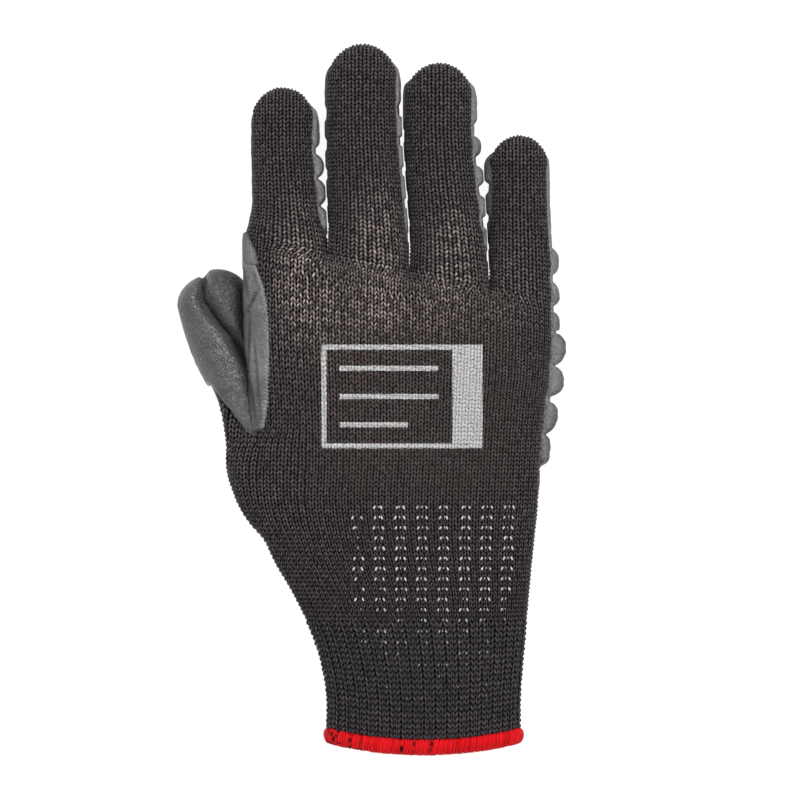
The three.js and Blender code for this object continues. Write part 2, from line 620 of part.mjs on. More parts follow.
// The line midway between a finger and the next one, at some y
function dividerX(finger, y) {
  const edge = (i, side) => {
    const base = fingerFrame(i, 0);
    const f = fingerFrame(i, y - base.y);
    return f.x + side * f.halfWidth;
  };
  return (edge(finger, 1) + edge(finger + 1, -1)) / 2;
}
const flapWidth = (row) => FLAP_WIDTH * tableAt(FLAP_FORM, "row", "width", row);
// How far a finger's coat reaches round one side past its widest place, as a share of its half girth
function coatReach(finger, length, side) {
  const row = FINGERS[finger];
  const f = fingerFrame(finger, Math.max(length, 0));
  const halfGirth = (Math.PI * Math.hypot(f.halfWidth, f.halfDepth)) / Math.SQRT2;
  const full = ((side < 0 ? row.leftWrap : row.rightWrap) * FINGER_WRAP) / halfGirth;
  const taper = smooth((length - row.length + COAT_END + COAT_TAPER) / COAT_TAPER);
  const line = side < 0 ? finger - 1 : finger;
  if (line < 0) {
    const flap = flapWidth(CROTCH_ROW + Math.min(length / webLength(finger), 0)) / halfGirth;
    return lerp(lerp(flap, full, smooth((length + 2) / FLAP_WIDTH)), -TIP_DRAWBACK, taper);
  }
  if (line === FINGERS.length - 1) return lerp(full, -TIP_DRAWBACK, taper);
  const room = Math.abs(dividerX(line, f.y) - f.x) - 1.5 * SEAT_GAP - COAT_EDGE;
  const free = room / f.halfWidth;
  const most = free < 1 ? -Math.acos(Math.max(free, 0)) / Math.PI : full * smooth((free - 1) / 0.06);
  return lerp(Math.min(most, full), -TIP_DRAWBACK, taper);
}
// Keeps a point of a finger's coat on its own side of the lines to the next fingers
function keepBetween(point, finger) {
  const line = (i) => dividerX(i, point.y);
  if (finger > 0) point.x = Math.max(point.x, line(finger - 1) + SEAT_GAP / 2);
  if (finger < FINGERS.length - 1) point.x = Math.min(point.x, line(finger) - SEAT_GAP / 2);
  return point;
}
// A section of a coat: outer points from left to right and inner ones back, given how to find them
function coatSection(pointAt, left, right, sides, thickness) {
  const shares = range(sides + 1).map((k) => lerp(left, right, k / sides));
  return [
    ...shares.map((share) => pointAt(share, -COAT_CORE)),
    ...shares.toReversed().map((share) => pointAt(share, thickness(share))),
  ];
}
function rubberFinger(finger) {
  const rings = coatSteps(finger).map(({ length, height }) => {
    const pointAt = (q, grow) => keepBetween(stallSkin(finger, length, -1, q, grow), finger);
    const thickness = (q) => {
      const aside = Math.abs(2 * clamp(q, 0, 1) - 1);
      return SEAT_GAP + RUBBER_WALL + height * FINGER_RIB_HEIGHT * (1 - SIDE_THINNING * aside ** 4);
    };
    const [left, right] = [-coatReach(finger, length, -1), 1 + coatReach(finger, length, 1)];
    return coatSection(pointAt, left, right, COAT_SIDES, thickness);
  });
  const stall = loft(stallRings(finger, SEAT_GAP / 2), stallPole(finger, SEAT_GAP / 2));
  return onSurface(loft(rings).subtract(stall));
}

function rubberPalm() {
  const rowLength = (row) => handSection(row + 0.5).rightY - handSection(row - 0.5).rightY;
  const steps = PALM_RIBS.flatMap(({ row, height }) =>
    RIB_OUTLINE.map((spot) => ({
      row: row + (spot.at * PALM_RIB_LENGTH) / rowLength(row),
      height: height * spot.height,
    })));
  const rings = [{ row: PALM_COAT_ROW, height: 0 }, ...steps, { row: SPLIT_ROW, height: 0 }].map(
    ({ row, height }) => {
      const girth = handSection(row).oval.run[OVAL_STEPS];
      const thickness = (share) => {
        const aside = clamp((0.5 - share) * 2, 0, 1);
        return SEAT_GAP + RUBBER_WALL + height * PALM_RIB_HEIGHT * (1 - aside ** 3);
      };
      const pointAt = (share, grow) => handSkinOut(row, -1, share, grow);
      const [left, right] = [-flapWidth(row) / girth, 1 + EDGE_WRAP / girth];
      return coatSection(pointAt, left, right, PALM_COAT_SIDES, thickness);
    });
  const hand = loft(runOn(handRings(SEAT_GAP)));
  return onSurface(loft(rings).subtract(hand).subtract(thumbTube(SEAT_GAP)));
}

function rubberThumb() {
  const hand = loft(runOn(handRings(SEAT_GAP)));
  const wall = thumbTube(0).subtract(thumbTube(-RUBBER_WALL));
  return onSurface(wall.intersect(beyondSleeveEdge(0)).subtract(hand));
}

const BLACK_KNIT = { color: 0x38312f, roughness: 0.95, metalness: 0 };
const CUFF_KNIT = { color: 0x342f31, roughness: 0.95, metalness: 0 };
const GREY_RUBBER = { color: 0x6c6b6d, roughness: 0.55, metalness: 0 };
const RED_YARN = { color: 0xb01f26, roughness: 0.9, metalness: 0 };

// The faces of a body's largest connected piece, because a cut can leave slivers beside it
function mainFaces(triVerts, count) {
  const leader = range(count);
  const find = (v) => {
    while (leader[v] !== v) v = leader[v] = leader[leader[v]];
    return v;
  };
  const faces = range(triVerts.length / 3).map((k) => Array.from(triVerts.slice(3 * k, 3 * k + 3)));
  for (const [a, b, c] of faces) leader[find(b)] = leader[find(c)] = find(a);
  const sizes = new Map();
  for (const [a] of faces) sizes.set(find(a), (sizes.get(find(a)) ?? 0) + 1);
  const largest = [...sizes].reduce((best, piece) => (piece[1] > best[1] ? piece : best))[0];
  return faces.filter(([a]) => find(a) === largest).flat();
}
function meshOf(name, body, finish) {
  const { vertProperties, triVerts } = body.getMesh();
  const geometry = new THREE.BufferGeometry();
  geometry.setAttribute("position", new THREE.Float32BufferAttribute(vertProperties, 3));
  geometry.setIndex(mainFaces(triVerts, vertProperties.length / 3));
  geometry.computeVertexNormals();
  const mesh = new THREE.Mesh(geometry, new THREE.MeshStandardMaterial(finish));
  mesh.name = name;
  return mesh;
}

const glove = new THREE.Group();
glove.add(
  meshOf("knit_heel", knitHeel(), BLACK_KNIT),
  meshOf("knit_knuckles", knitKnuckles(), BLACK_KNIT),
  meshOf("knit_cuff", knitCuff(), CUFF_KNIT),
  meshOf("cuff_hem", overlockHem(), RED_YARN),
  meshOf("rubber_palm", rubberPalm(), GREY_RUBBER),
  meshOf("rubber_thumb", rubberThumb(), GREY_RUBBER),
);
FINGERS.forEach(({ name }, finger) => {
  glove.add(meshOf(`knit_${name}_finger`, knitFinger(finger), BLACK_KNIT));
  glove.add(meshOf(`rubber_${name}_finger`, rubberFinger(finger), GREY_RUBBER));
});

// The origin is the middle of the glove's box, on the surface that it lies on
const box = new THREE.Box3().setFromObject(glove);
const middle = box.getCenter(new THREE.Vector3());
glove.position.set(-middle.x, -middle.y, -box.min.z);
glove.updateMatrixWorld(true);

export default glove;
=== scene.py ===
"""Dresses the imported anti-vibration glove with knitted yarn, moulded rubber, an overlock hem and a plain print.

The working grid is in millimetres: the hem seam lies at y = 0 and the middle line of the hand at x = 0.
"""
import logging
import math
from dataclasses import dataclass, field
from enum import Enum

import bpy
import numpy as np
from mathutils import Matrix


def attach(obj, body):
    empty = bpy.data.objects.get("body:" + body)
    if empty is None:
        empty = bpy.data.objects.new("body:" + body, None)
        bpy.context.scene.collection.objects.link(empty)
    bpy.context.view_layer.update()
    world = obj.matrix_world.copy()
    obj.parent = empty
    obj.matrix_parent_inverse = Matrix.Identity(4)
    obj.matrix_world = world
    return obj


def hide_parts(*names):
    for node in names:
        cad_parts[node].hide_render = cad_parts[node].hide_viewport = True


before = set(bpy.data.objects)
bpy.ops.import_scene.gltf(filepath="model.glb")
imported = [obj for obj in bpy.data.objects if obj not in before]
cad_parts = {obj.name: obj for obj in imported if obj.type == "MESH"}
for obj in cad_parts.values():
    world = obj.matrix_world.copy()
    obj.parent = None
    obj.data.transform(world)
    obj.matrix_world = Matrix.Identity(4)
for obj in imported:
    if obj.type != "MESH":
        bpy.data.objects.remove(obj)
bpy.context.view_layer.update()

LOG = logging.getLogger("glove")

Array = np.ndarray
MM = 0.001
ORIGIN = np.array([10.5229, -114.8466, 0.0])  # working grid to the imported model, in millimetres
PIXEL = 0.35  # millimetres of the glove in one pixel of the 800 by 800 picture
PICTURE_MIDDLE = (10.32, -0.37)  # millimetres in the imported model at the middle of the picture

SEAT_GAP = 0.3
RUBBER_WALL = 1.3
KNIT_WALL = 1.2


class Slot(Enum):
    """Material slots of the record."""

    KNIT = "black_knit"
    RUBBER = "grey_rubber"
    HEM = "red_yarn"


class Side(Enum):
    """The two long sides of a coat, as its turn runs from the right edge to the left one."""

    LEFT = -1
    RIGHT = 1


def smooth(t: Array | float) -> Array:
    """Smooth step from 0 to 1."""
    t = np.clip(t, 0.0, 1.0)
    return t * t * (3.0 - 2.0 * t)


def lerp(a: Array | float, b: Array | float, t: Array | float) -> Array:
    """Straight mix of a and b."""
    return a + (b - a) * t


def rounded(t: Array | float) -> Array:
    """Quarter-round rise from 0 to 1."""
    t = np.clip(t, 0.0, 1.0)
    return np.sqrt(1.0 - (1.0 - t) ** 2)


def unit(v: Array) -> Array:
    """Vectors of length one."""
    return v / np.maximum(np.linalg.norm(v, axis=-1, keepdims=True), 1e-9)


def from_picture(x: float, y: float) -> tuple[float, float]:
    """Working-grid place of a pixel of the picture."""
    return (x - 372.0) * PIXEL - 10.0, (400.5 - y) * PIXEL + 114.3


@dataclass(frozen=True)
class Table:
    """Columns of values by place, read with smooth slopes between the rows."""

    keys: tuple[float, ...]
    columns: dict[str, tuple[float, ...]]

    def at(self, column: str, place: Array | float) -> Array:
        """Value of a column.

        Args:
            column: Name of the column.
            place: Places between the first and the last key.

        Returns:
            The values at those places.
        """
        k = np.asarray(self.keys)
        v = np.asarray(self.columns[column])
        n = len(k)
        low, high = np.maximum(np.arange(n) - 1, 0), np.minimum(np.arange(n) + 1, n - 1)
        slope = (v[high] - v[low]) / (k[high] - k[low])
        at = np.clip(place, k[0], k[-1])
        i = np.clip(np.searchsorted(k, at, side="right") - 1, 0, n - 2)
        span = k[i + 1] - k[i]
        t = (at - k[i]) / span
        return (
            (1 + 2 * t) * (1 - t) ** 2 * v[i]
            + t * (1 - t) ** 2 * span * slope[i]
            + t * t * (3 - 2 * t) * v[i + 1]
            + t * t * (t - 1) * span * slope[i + 1]
        )


HAND_TABLE = Table(
    tuple(float(row) for row in range(11)),
    {
        "left_y": (0, 0.081, 0.179, 0.276, 0.374, 0.471, 0.575, 0.709, 0.843, 0.99, 1.05),
        "right_y": (0, 0.081, 0.179, 0.276, 0.374, 0.471, 0.575, 0.679, 0.746, 0.845, 0.915),
        "left_x": (-0.242, -0.245, -0.279, -0.347, -0.43, -0.475, -0.472, -0.483, -0.497, -0.503, -0.505),
        "right_x": (0.395, 0.398, 0.409, 0.422, 0.436, 0.451, 0.459, 0.474, 0.489, 0.498, 0.5),
        "mid_z": (0.71, 0.72, 0.76, 0.81, 0.87, 0.93, 0.98, 1.0, 1.0, 0.96, 0.91),
        "depth": (0.74, 0.75, 0.8, 0.87, 0.93, 0.98, 1.0, 1.0, 1.0, 0.955, 0.89),
        "power": (2.2, 2.2, 2.3, 2.4, 2.4, 2.5, 2.5, 2.5, 2.5, 2.5, 2.5),
    },
)
FINGER_TABLE = Table((0.0, 0.28, 0.62, 1.0), {"width": (1.15, 1.06, 1.0, 0.98), "depth": (1.14, 1.05, 1.0, 0.94)})
THUMB_TABLE = Table(
    (0.0, 0.13, 0.255, 0.41, 0.54, 0.65, 0.745, 0.83, 0.915),
    {
        "across": (0, -0.073, -0.128, -0.182, -0.235, -0.269, -0.298, -0.318, -0.331),
        "lift": (1.95, 1.85, 1.75, 1.6, 1.35, 1.16, 1.04, 1.0, 1.0),
        "width": (0.86, 1.12, 1.1, 0.9, 0.7, 0.77, 0.86, 0.94, 0.98),
        "depth": (1.2, 1.2, 1.2, 1.15, 1.1, 1.05, 1.0, 1.0, 1.0),
        "groove": (0, 0, 0, 0, 0.05, 0.25, 0.5, 0.6, 0.6),
        "fold": (0.9, 0.9, 0.9, 0.9, 0.9, 0.75, 0.42, 0.04, -0.24),
    },
)
FLAP_TABLE = Table(
    (5.0, 6.0, 6.3, 6.6, 7.0, 7.5, 8.0, 8.5, 9.0, 10.0),
    {"width": (-0.9, -0.5, 0.1, 0.42, 0.68, 0.86, 1.0, 0.82, 0.45, 0.28)},
)


@dataclass(frozen=True)
class HandForm:
    """The hand's skin from the hem seam (row 0) to the finger line (row 10), all round.

    A turn runs over the back from the thumb side (0) to the little finger's side (1), then under the
    palm back to the thumb side (2).
    """

    length: float = 164.0
    width: float = 106.0
    depth: float = 30.0
    middle: float = 19.9
    sag: float = 3.7
    sag_rows: float = 3.0
    groove_row: float = 9.45
    split_row: float = 9.0
    crotch_row: float = 10.0
    gaps: tuple[float, ...] = (-0.243, 0.028, 0.292)
    lifts: tuple[float, ...] = (0.9, 0.95, 0.95, 0.88)
    steps: int = 120
    thumb_reach: float = 0.22  # share of the back that the thumb's root bulges
    thumb_inset: float = 13.0
    thumb_blend: float = 3.0
    thumb_fade: float = 6.15  # row at which the thumb's root begins to leave the hand

    def section(self, rows: Array) -> dict[str, Array]:
        """Sizes of the hand's sections.

        Args:
            rows: Rows, one for each section.

        Returns:
            Named arrays with one value for each row.
        """
        at = {name: HAND_TABLE.at(name, rows) for name in HAND_TABLE.columns}
        left_x, right_x = at["left_x"] * self.width, at["right_x"] * self.width
        return {
            "left_x": left_x,
            "right_x": right_x,
            "left_y": at["left_y"] * self.length,
            "right_y": at["right_y"] * self.length,
            "mid_x": (left_x + right_x) / 2,
            "mid_z": at["mid_z"] * self.middle,
            "half_width": (right_x - left_x) / 2,
            "half_depth": at["depth"] * self.depth / 2,
            "power": at["power"],
            "sag": self.sag * (1 - smooth(rows / self.sag_rows)),
        }

    def line_y(self, section: dict[str, Array], x: Array) -> Array:
        """Length along the glove of a section's slanting, sagging line at some x."""
        size = {name: section[name][:, None] for name in ("left_x", "right_x", "left_y", "right_y", "sag")}
        t = (x - size["left_x"]) / (size["right_x"] - size["left_x"])
        return lerp(size["left_y"], size["right_y"], t) - size["sag"] * (1 - (2 * t - 1) ** 2)

    def halves(self, rows: Array) -> tuple[list[Array], list[Array], list[Array]]:
        """Outlines of the back and the palm, bulged by the thumb's root.

        Args:
            rows: Rows, one for each section.

        Returns:
            The x, the z and the share of the length of each outline point, for the back and the palm.
        """
        s = self.section(rows)
        angle = np.linspace(0.0, math.pi, self.steps + 1)
        c, up = -np.cos(angle), np.maximum(np.sin(angle), 0.0)
        up[[0, -1]] = 0.0
        bend = 2.0 / s["power"][:, None]
        x = s["mid_x"][:, None] + np.sign(c) * s["half_width"][:, None] * np.abs(c) ** bend
        dz = s["half_depth"][:, None] * up**bend
        share = self.shares(x, dz)
        zs = [s["mid_z"][:, None] + side * dz for side in (1, -1)]
        swell = [self.thumb_swell(rows, s, x, z, share) for z in zs]
        joined = np.concatenate([swell[1][:, ::-1], swell[0][:, 1:]], axis=1)
        kernel = np.exp(-((np.arange(-5, 6) / 2.2) ** 2))
        kernel /= kernel.sum()
        soft = np.apply_along_axis(lambda line: np.convolve(line, kernel, mode="same"), 1, joined)
        parts = [soft[:, self.steps :], soft[:, : self.steps + 1][:, ::-1]]
        xs, shares = [], []
        for k, z in enumerate(zs):
            centre_x = s["left_x"][:, None] + self.thumb_inset
            centre_z = s["mid_z"][:, None] - 1.0
            reach = np.hypot(x - centre_x, z - centre_z)
            scale = 1.0 + parts[k] / np.maximum(reach, 1e-6)
            new_x = centre_x + (x - centre_x) * scale
            zs[k] = centre_z + (z - centre_z) * scale
            xs.append(new_x)
            run = self.shares(new_x, zs[k], whole=False)
            new_share = share.copy()
            for i in range(len(rows)):
                end = int(np.searchsorted(share[i], self.thumb_reach))
                new_share[i, : end + 1] = run[i, : end + 1] / run[i, end] * share[i, end]
            shares.append(new_share)
        return xs, zs, shares

    @staticmethod
    def shares(x: Array, z: Array, whole: bool = True) -> Array:
        """Run along each outline, as a share of its whole length or in millimetres."""
        run = np.cumsum(np.hypot(np.diff(x, axis=1), np.diff(z, axis=1)), axis=1)
        run = np.concatenate([np.zeros((len(x), 1)), run], axis=1)
        return run / run[:, -1:] if whole else run

    def thumb_swell(self, rows: Array, s: dict[str, Array], x: Array, z: Array, share: Array) -> Array:
        """How far the thumb's root pushes the outline out along the rays from a point inside the palm.

        Args:
            rows: Rows of the sections.
            s: Sizes of the sections.
            x: Outline points across.
            z: Outline heights.
            share: Share of the outline's length at each point.

        Returns:
            Distance for each outline point.
        """
        place = (s["left_y"] - THUMB.root_y) / THUMB.length
        side = 1 - smooth((rows[:, None] - self.thumb_fade) / 0.5)
        over = smooth((share - 0.03) / 0.07) * (z > s["mid_z"][:, None])
        fade = lerp(side, 1 - smooth((rows[:, None] - 4.9) / 1.7), over) * smooth(place / 0.08)[:, None]
        middle_x = (THUMB.root_x + THUMB_TABLE.at("across", place) * THUMB.length)[:, None]
        middle_z = (THUMB_TABLE.at("lift", place) * THUMB.lift)[:, None]
        inset = lerp(0.2, RUBBER_WALL + SEAT_GAP, smooth((rows - 5.7) / 0.7))
        a = (THUMB_TABLE.at("width", place) * THUMB.width / 2 - inset)[:, None]
        b = (THUMB_TABLE.at("depth", place) * THUMB.depth / 2 - inset)[:, None]
        cx, cz = s["left_x"][:, None] + self.thumb_inset, s["mid_z"][:, None] - 1.0
        reach = np.hypot(x - cx, z - cz)
        dx, dz = (x - cx) / reach, (z - cz) / reach
        qa = (dx / a) ** 2 + (dz / b) ** 2
        qb = 2 * ((cx - middle_x) * dx / a**2 + (cz - middle_z) * dz / b**2)
        qc = ((cx - middle_x) / a) ** 2 + ((cz - middle_z) / b) ** 2 - 1
        room = qb * qb - 4 * qa * qc
        far = np.where(room > 0, (-qb + np.sqrt(np.maximum(room, 0))) / (2 * qa), 0.0)
        far = lerp(np.minimum(reach, far), np.maximum(far, 0.0), fade)
        near = np.maximum(self.thumb_blend - np.abs(far - reach), 0) / self.thumb_blend
        joined = np.maximum(far, reach) + near * near * self.thumb_blend / 4 * fade
        return (joined - reach) * (1 - smooth((share - 0.12) / 0.1))

    def lobe_ends(self) -> Array:
        """Shares of the back at which one finger's lobe ends and the next begins."""
        row = np.array([self.crotch_row])
        xs, _, shares = self.halves(row)
        inner = np.interp([gap * self.width for gap in self.gaps], xs[0][0], shares[0][0])
        return np.array([0.0, *inner, 1.0])

    def skin(self, rows: Array, turns: Array) -> Array:
        """Points of the hand's skin.

        Args:
            rows: Rows of the sections, n of them.
            turns: Turns round each section, n by m.

        Returns:
            Points, n by m by 3.
        """
        w = np.mod(turns, 2.0)
        side = np.where(w <= 1, 1.0, -1.0)
        share = np.where(w <= 1, w, 2 - w)
        s = self.section(rows)
        xs, zs, shares = self.halves(rows)
        flat = [[np.interp(share[i], shares[k][i], v[k][i]) for i in range(len(rows))] for k in (0, 1) for v in (xs, zs)]
        x = np.where(side > 0, flat[0], flat[2])
        z = np.where(side > 0, flat[1], flat[3])
        blend = smooth((rows - self.groove_row) / (self.crotch_row - self.groove_row))[:, None]
        if blend.max() > 0:
            finger = np.clip(np.searchsorted(LOBE_ENDS, share, side="right") - 1, 0, 3)
            q = (share - LOBE_ENDS[finger]) / (LOBE_ENDS[finger + 1] - LOBE_ENDS[finger])
            edges = np.array([np.interp(LOBE_ENDS, shares[0][i], xs[0][i]) for i in range(len(rows))])
            left, right = np.take_along_axis(edges, finger, 1), np.take_along_axis(edges, finger + 1, 1)
            low = self.section(np.array([self.crotch_row]))["mid_z"][0]
            lift = np.asarray(self.lifts)[finger] * self.middle - low
            half = FINGER_TABLE.at("depth", 0.0) * np.asarray([f.depth for f in FINGERS])[finger] / 2
            lobe_x = (left + right) / 2 - (right - left) / 2 * np.cos(math.pi * q)
            lobe_z = s["mid_z"][:, None] + lift + side * half * np.sin(math.pi * q)
            x, z = lerp(x, lobe_x, blend), lerp(z, lobe_z, blend)
        return np.stack([x, self.line_y(s, x), z], axis=-1)

    def grown(self, rows: Array, turns: Array, grow: Array | float) -> Array:
        """Points of the skin moved out of it within their sections by some distance."""
        step = 0.004
        ahead, behind = self.skin(rows, turns + step), self.skin(rows, turns - step)
        out = np.stack([behind[..., 2] - ahead[..., 2], np.zeros(turns.shape), ahead[..., 0] - behind[..., 0]], -1)
        return self.skin(rows, turns) + unit(out) * np.asarray(grow)[..., None]

    def rows_at(self, lengths: Array) -> Array:
        """Rows whose middle lies at some lengths above the hem seam."""
        rows = np.linspace(0, self.crotch_row, 400)
        s = self.section(rows)
        return np.interp(lengths, (s["left_y"] + s["right_y"]) / 2, rows)

    def half_girth(self, rows: Array) -> Array:
        """Length over the back at some rows."""
        xs, zs, _ = self.halves(rows)
        return self.shares(xs[0], zs[0], whole=False)[:, -1]


@dataclass(frozen=True)
class ThumbForm:
    """The folded thumb's sizes and its sleeve's skin."""

    length: float = 96.0
    width: float = 25.6
    depth: float = 17.0
    lift: float = 9.0
    root_x: float = -34.03
    root_y: float = 62.32
    fold_spread: float = 0.22
    fold_soft: float = 0.42
    fold_sharp: float = 0.4
    fold_under: float = 0.2
    notch: float = 2.4
    left_drop: float = 1.5  # how much lower the left lobe ends
    last: float = 0.915
    tip: tuple[float, float] = (1.02, -0.345)
    edge_x: tuple[float, ...] = (203, 211.5, 219.5, 224.7, 232.7, 237.9, 247, 254.5, 262, 268)
    edge_y: tuple[float, ...] = (387, 387, 397.5, 405, 413, 421, 432, 436, 435, 434)
    edge_under: float = 34.0  # how many pixels lower the edge runs under the thumb

    def skin(self, place: Array, turns: Array, grow: Array | float = 0.0) -> Array:
        """Points of the thumb.

        Args:
            place: Shares of the thumb's length, any shape.
            turns: Turns round it, of the same shape.
            grow: Distance out of the skin.

        Returns:
            Points with one more axis of three.
        """
        w = np.mod(turns, 2.0)
        side = np.where(w <= 1, 1.0, -1.0)
        q = np.where(w <= 1, w, 2 - w)
        at = {name: THUMB_TABLE.at(name, place) for name in THUMB_TABLE.columns}
        into = np.clip((place - self.last) / (self.tip[0] - self.last), 0, 1)
        cap = np.sqrt(1 - into * into)
        step = 0.02
        held = np.minimum(place, self.last)
        lean = (THUMB_TABLE.at("across", held - step) - THUMB_TABLE.at("across", held)) / step
        sideways = unit(np.stack([np.ones_like(lean), lean, np.zeros_like(lean)], -1))
        across, up = -np.cos(math.pi * q), np.sin(math.pi * q)
        half_width = (at["width"] * self.width / 2 + grow) * cap
        half_depth = (at["depth"] * self.depth / 2 + grow) * cap
        middle = np.stack(
            [
                self.root_x + lerp(at["across"], self.tip[1], into) * self.length,
                self.root_y + place * self.length + grow * into,
                at["lift"] * self.lift,
            ],
            -1,
        )
        point = middle + sideways * (across * half_width)[..., None]
        off = (point[..., 0] - FOLD_BORDER.x_at(point[..., 1])) / (self.width / 2)
        crease = self.fold_soft * np.exp(-((off / self.fold_spread) ** 2))
        crease = crease + self.fold_sharp * np.exp(-np.abs(off) / 0.055)
        dip = np.where(side > 0, 1.0, self.fold_under) * crease * smooth((place - 0.62) / 0.1)
        point[..., 2] += side * up * half_depth * (1 - dip)
        point[..., 1] -= self.notch * np.exp(-((off / 0.09) ** 2)) * smooth((place - self.last + 0.03) / 0.06)
        point[..., 1] -= self.left_drop * smooth(-off / 0.1) * smooth((place - self.last + 0.1) / 0.12)
        return point

    def edge_distance(self, points: Array, under: Array | bool) -> Array:
        """Distance of points beyond the sleeve's slanting edge.

        Args:
            points: Points of the working grid.
            under: Whether each point lies under the thumb.

        Returns:
            Millimetres along the glove.
        """
        x = (points[..., 0] + 10.0) / PIXEL + 372.0
        y = 400.5 - (points[..., 1] - 114.3) / PIXEL
        t = np.clip((x - self.edge_x[1]) / (self.edge_x[-1] - self.edge_x[1]), 0, 1)
        border = np.interp(x, self.edge_x, self.edge_y) + np.where(under, self.edge_under * np.sin(math.pi * t), 0)
        return (border - y) * PIXEL


@dataclass(frozen=True)
class FingerForm:
    """One finger from the web (negative lengths) over the finger line (0) to its tip."""

    name: str
    index: int
    length: float
    width: float
    depth: float
    lean: float
    pad: float
    first: float  # from the tip to the middle of the first rib, at the right side
    pitch: float
    ribs: int
    rib: float
    slant: float  # how much lower the ribs lie at the left side
    wraps: tuple[float, float]  # left and right
    bare_right: float = 99.0  # length above which no rib shows at the right side
    tip_round: float = 0.52
    tip_press: float = 1.1

    def base(self) -> tuple[dict[str, Array], float, float, float]:
        """Section of the finger line with the middle, half width and height of the finger's base."""
        section = HAND.section(np.array([HAND.crotch_row]))
        xs, _, shares = HAND.halves(np.array([HAND.crotch_row]))
        left, right = np.interp(LOBE_ENDS[self.index : self.index + 2], shares[0][0], xs[0][0])
        return section, (left + right) / 2, (right - left) / 2, HAND.lifts[self.index] * HAND.middle

    def shank(self) -> float:
        """Length at which the rounded tip begins."""
        return self.length - self.tip_round * self.width

    def frame(self, length: Array, grow: Array | float = 0.0) -> dict[str, Array]:
        """Middle and half sizes of the finger.

        Args:
            length: Lengths from the finger line.
            grow: Distance out of the skin.

        Returns:
            Named arrays of the lengths' shape.
        """
        section, base_x, base_half, base_z = BASES[self.index]
        at = np.clip(length, 0, self.length)
        along = np.minimum(at / self.shank(), 1)
        into = np.clip((at - self.shank()) / (self.tip_round * self.width), 0, 1)
        cap = np.sqrt(np.maximum(1 - into * into, 0))
        widen = lerp(base_half / (FINGER_TABLE.at("width", 0.0) * self.width / 2), 1, smooth(along * 3))
        slope = (section["right_y"][0] - section["left_y"][0]) / (2 * section["half_width"][0])
        tip_z = FINGER_TABLE.at("depth", 1.0) * self.depth / 2 + SEAT_GAP + RUBBER_WALL + COAT_RIB - self.tip_press
        base_y = HAND.line_y(section, np.array([[base_x]]))[0, 0]
        return {
            "x": base_x + self.lean * smooth(1.4 * at / self.length),
            "y": base_y + at + grow * into,
            "z": lerp(base_z, tip_z, smooth(at / self.length)),
            "half_width": (FINGER_TABLE.at("width", along) * widen * self.width / 2 + grow) * cap,
            "half_depth": (FINGER_TABLE.at("depth", along) * self.depth / 2 + grow) * cap,
            "slant": slope * (1 - smooth(along * 2)),
        }

    def web(self) -> float:
        """Length of the web below the finger line."""
        _, x, _, _ = BASES[self.index]
        rows = np.array([HAND.crotch_row, HAND.split_row])
        y = HAND.line_y(HAND.section(rows), np.full((2, 1), x))
        return float(y[0, 0] - y[1, 0])

    def skin(self, lengths: Array, turns: Array, grow: Array | float = 0.0) -> Array:
        """Points of the finger and its web.

        Args:
            lengths: Lengths from the finger line, n of them.
            turns: Turns round it, n by m.
            grow: Distance out of the skin, one number or n by m.

        Returns:
            Points, n by m by 3.
        """
        grow = np.broadcast_to(np.asarray(grow, float), turns.shape)
        w = np.mod(turns, 2.0)
        side = np.where(w <= 1, 1.0, -1.0)
        q = np.where(w <= 1, w, 2 - w)
        f = self.frame(np.broadcast_to(lengths[:, None], turns.shape), grow)
        dx = -np.cos(math.pi * q) * f["half_width"]
        points = np.stack([f["x"] + dx, f["y"] + f["slant"] * dx, f["z"] + side * np.sin(math.pi * q) * f["half_depth"]], -1)
        below = lengths < 0
        if below.any():
            share = lerp(LOBE_ENDS[self.index], LOBE_ENDS[self.index + 1], q[below])
            rows = HAND.crotch_row + lengths[below] / self.web()
            points[below] = HAND.grown(rows, np.where(side[below] > 0, share, 2 - share), grow[below])
        return points


COAT_RIB = 2.3
THUMB = ThumbForm()
FINGERS = (
    FingerForm("index", 0, 54.73, 21.8, 18.6, -1.67, 21.3, 27.4, 8.9, 5, 8.3, 0.0, (-0.7, 1.0)),
    FingerForm("middle", 1, 75.8, 24.6, 20.0, -1.9, 21.4, 28.8, 10.5, 6, 7.5, 1.2, (0.2, 1.0)),
    FingerForm("ring", 2, 75.1, 23.6, 19.6, -3.41, 21.5, 29.1, 10.4, 6, 7.2, 2.1, (0.9, 1.0)),
    FingerForm("little", 3, 54.88, 20.4, 17.4, -0.3, 15.0, 21.9, 10.5, 5, 8.2, 2.1, (0.9, 0.9), 18.0),
)
# Height of the ribs at each finger's left and right, then of its pad at the left and right.
SIDE_RELIEF = ((0.0, 1.1, 0.0, 0.65), (0.35, 1.0, 0.25, 0.3), (0.6, 1.0, 0.85, 0.5), (0.7, 0.95, 0.85, 0.0))
HAND = HandForm()
LOBE_ENDS = HAND.lobe_ends()
BASES = [finger.base() for finger in FINGERS]


# Blender helpers


def clear_selection() -> None:
    """Deselects everything and leaves edit mode."""
    if bpy.context.object is not None and bpy.context.object.mode != "OBJECT":
        bpy.ops.object.mode_set(mode="OBJECT")
    bpy.ops.object.select_all(action="DESELECT")


def in_metres(points: Array) -> Array:
    """Working-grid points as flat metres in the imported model's frame."""
    return np.ascontiguousarray((points + ORIGIN) * MM, dtype=np.float32).ravel()


def set_attribute(mesh: bpy.types.Mesh, name: str, values: Array) -> None:
    """Gives a mesh one number at each vertex."""
    layer = mesh.attributes.new(name, "FLOAT", "POINT")
    layer.data.foreach_set("value", np.ascontiguousarray(values, dtype=np.float32).ravel())


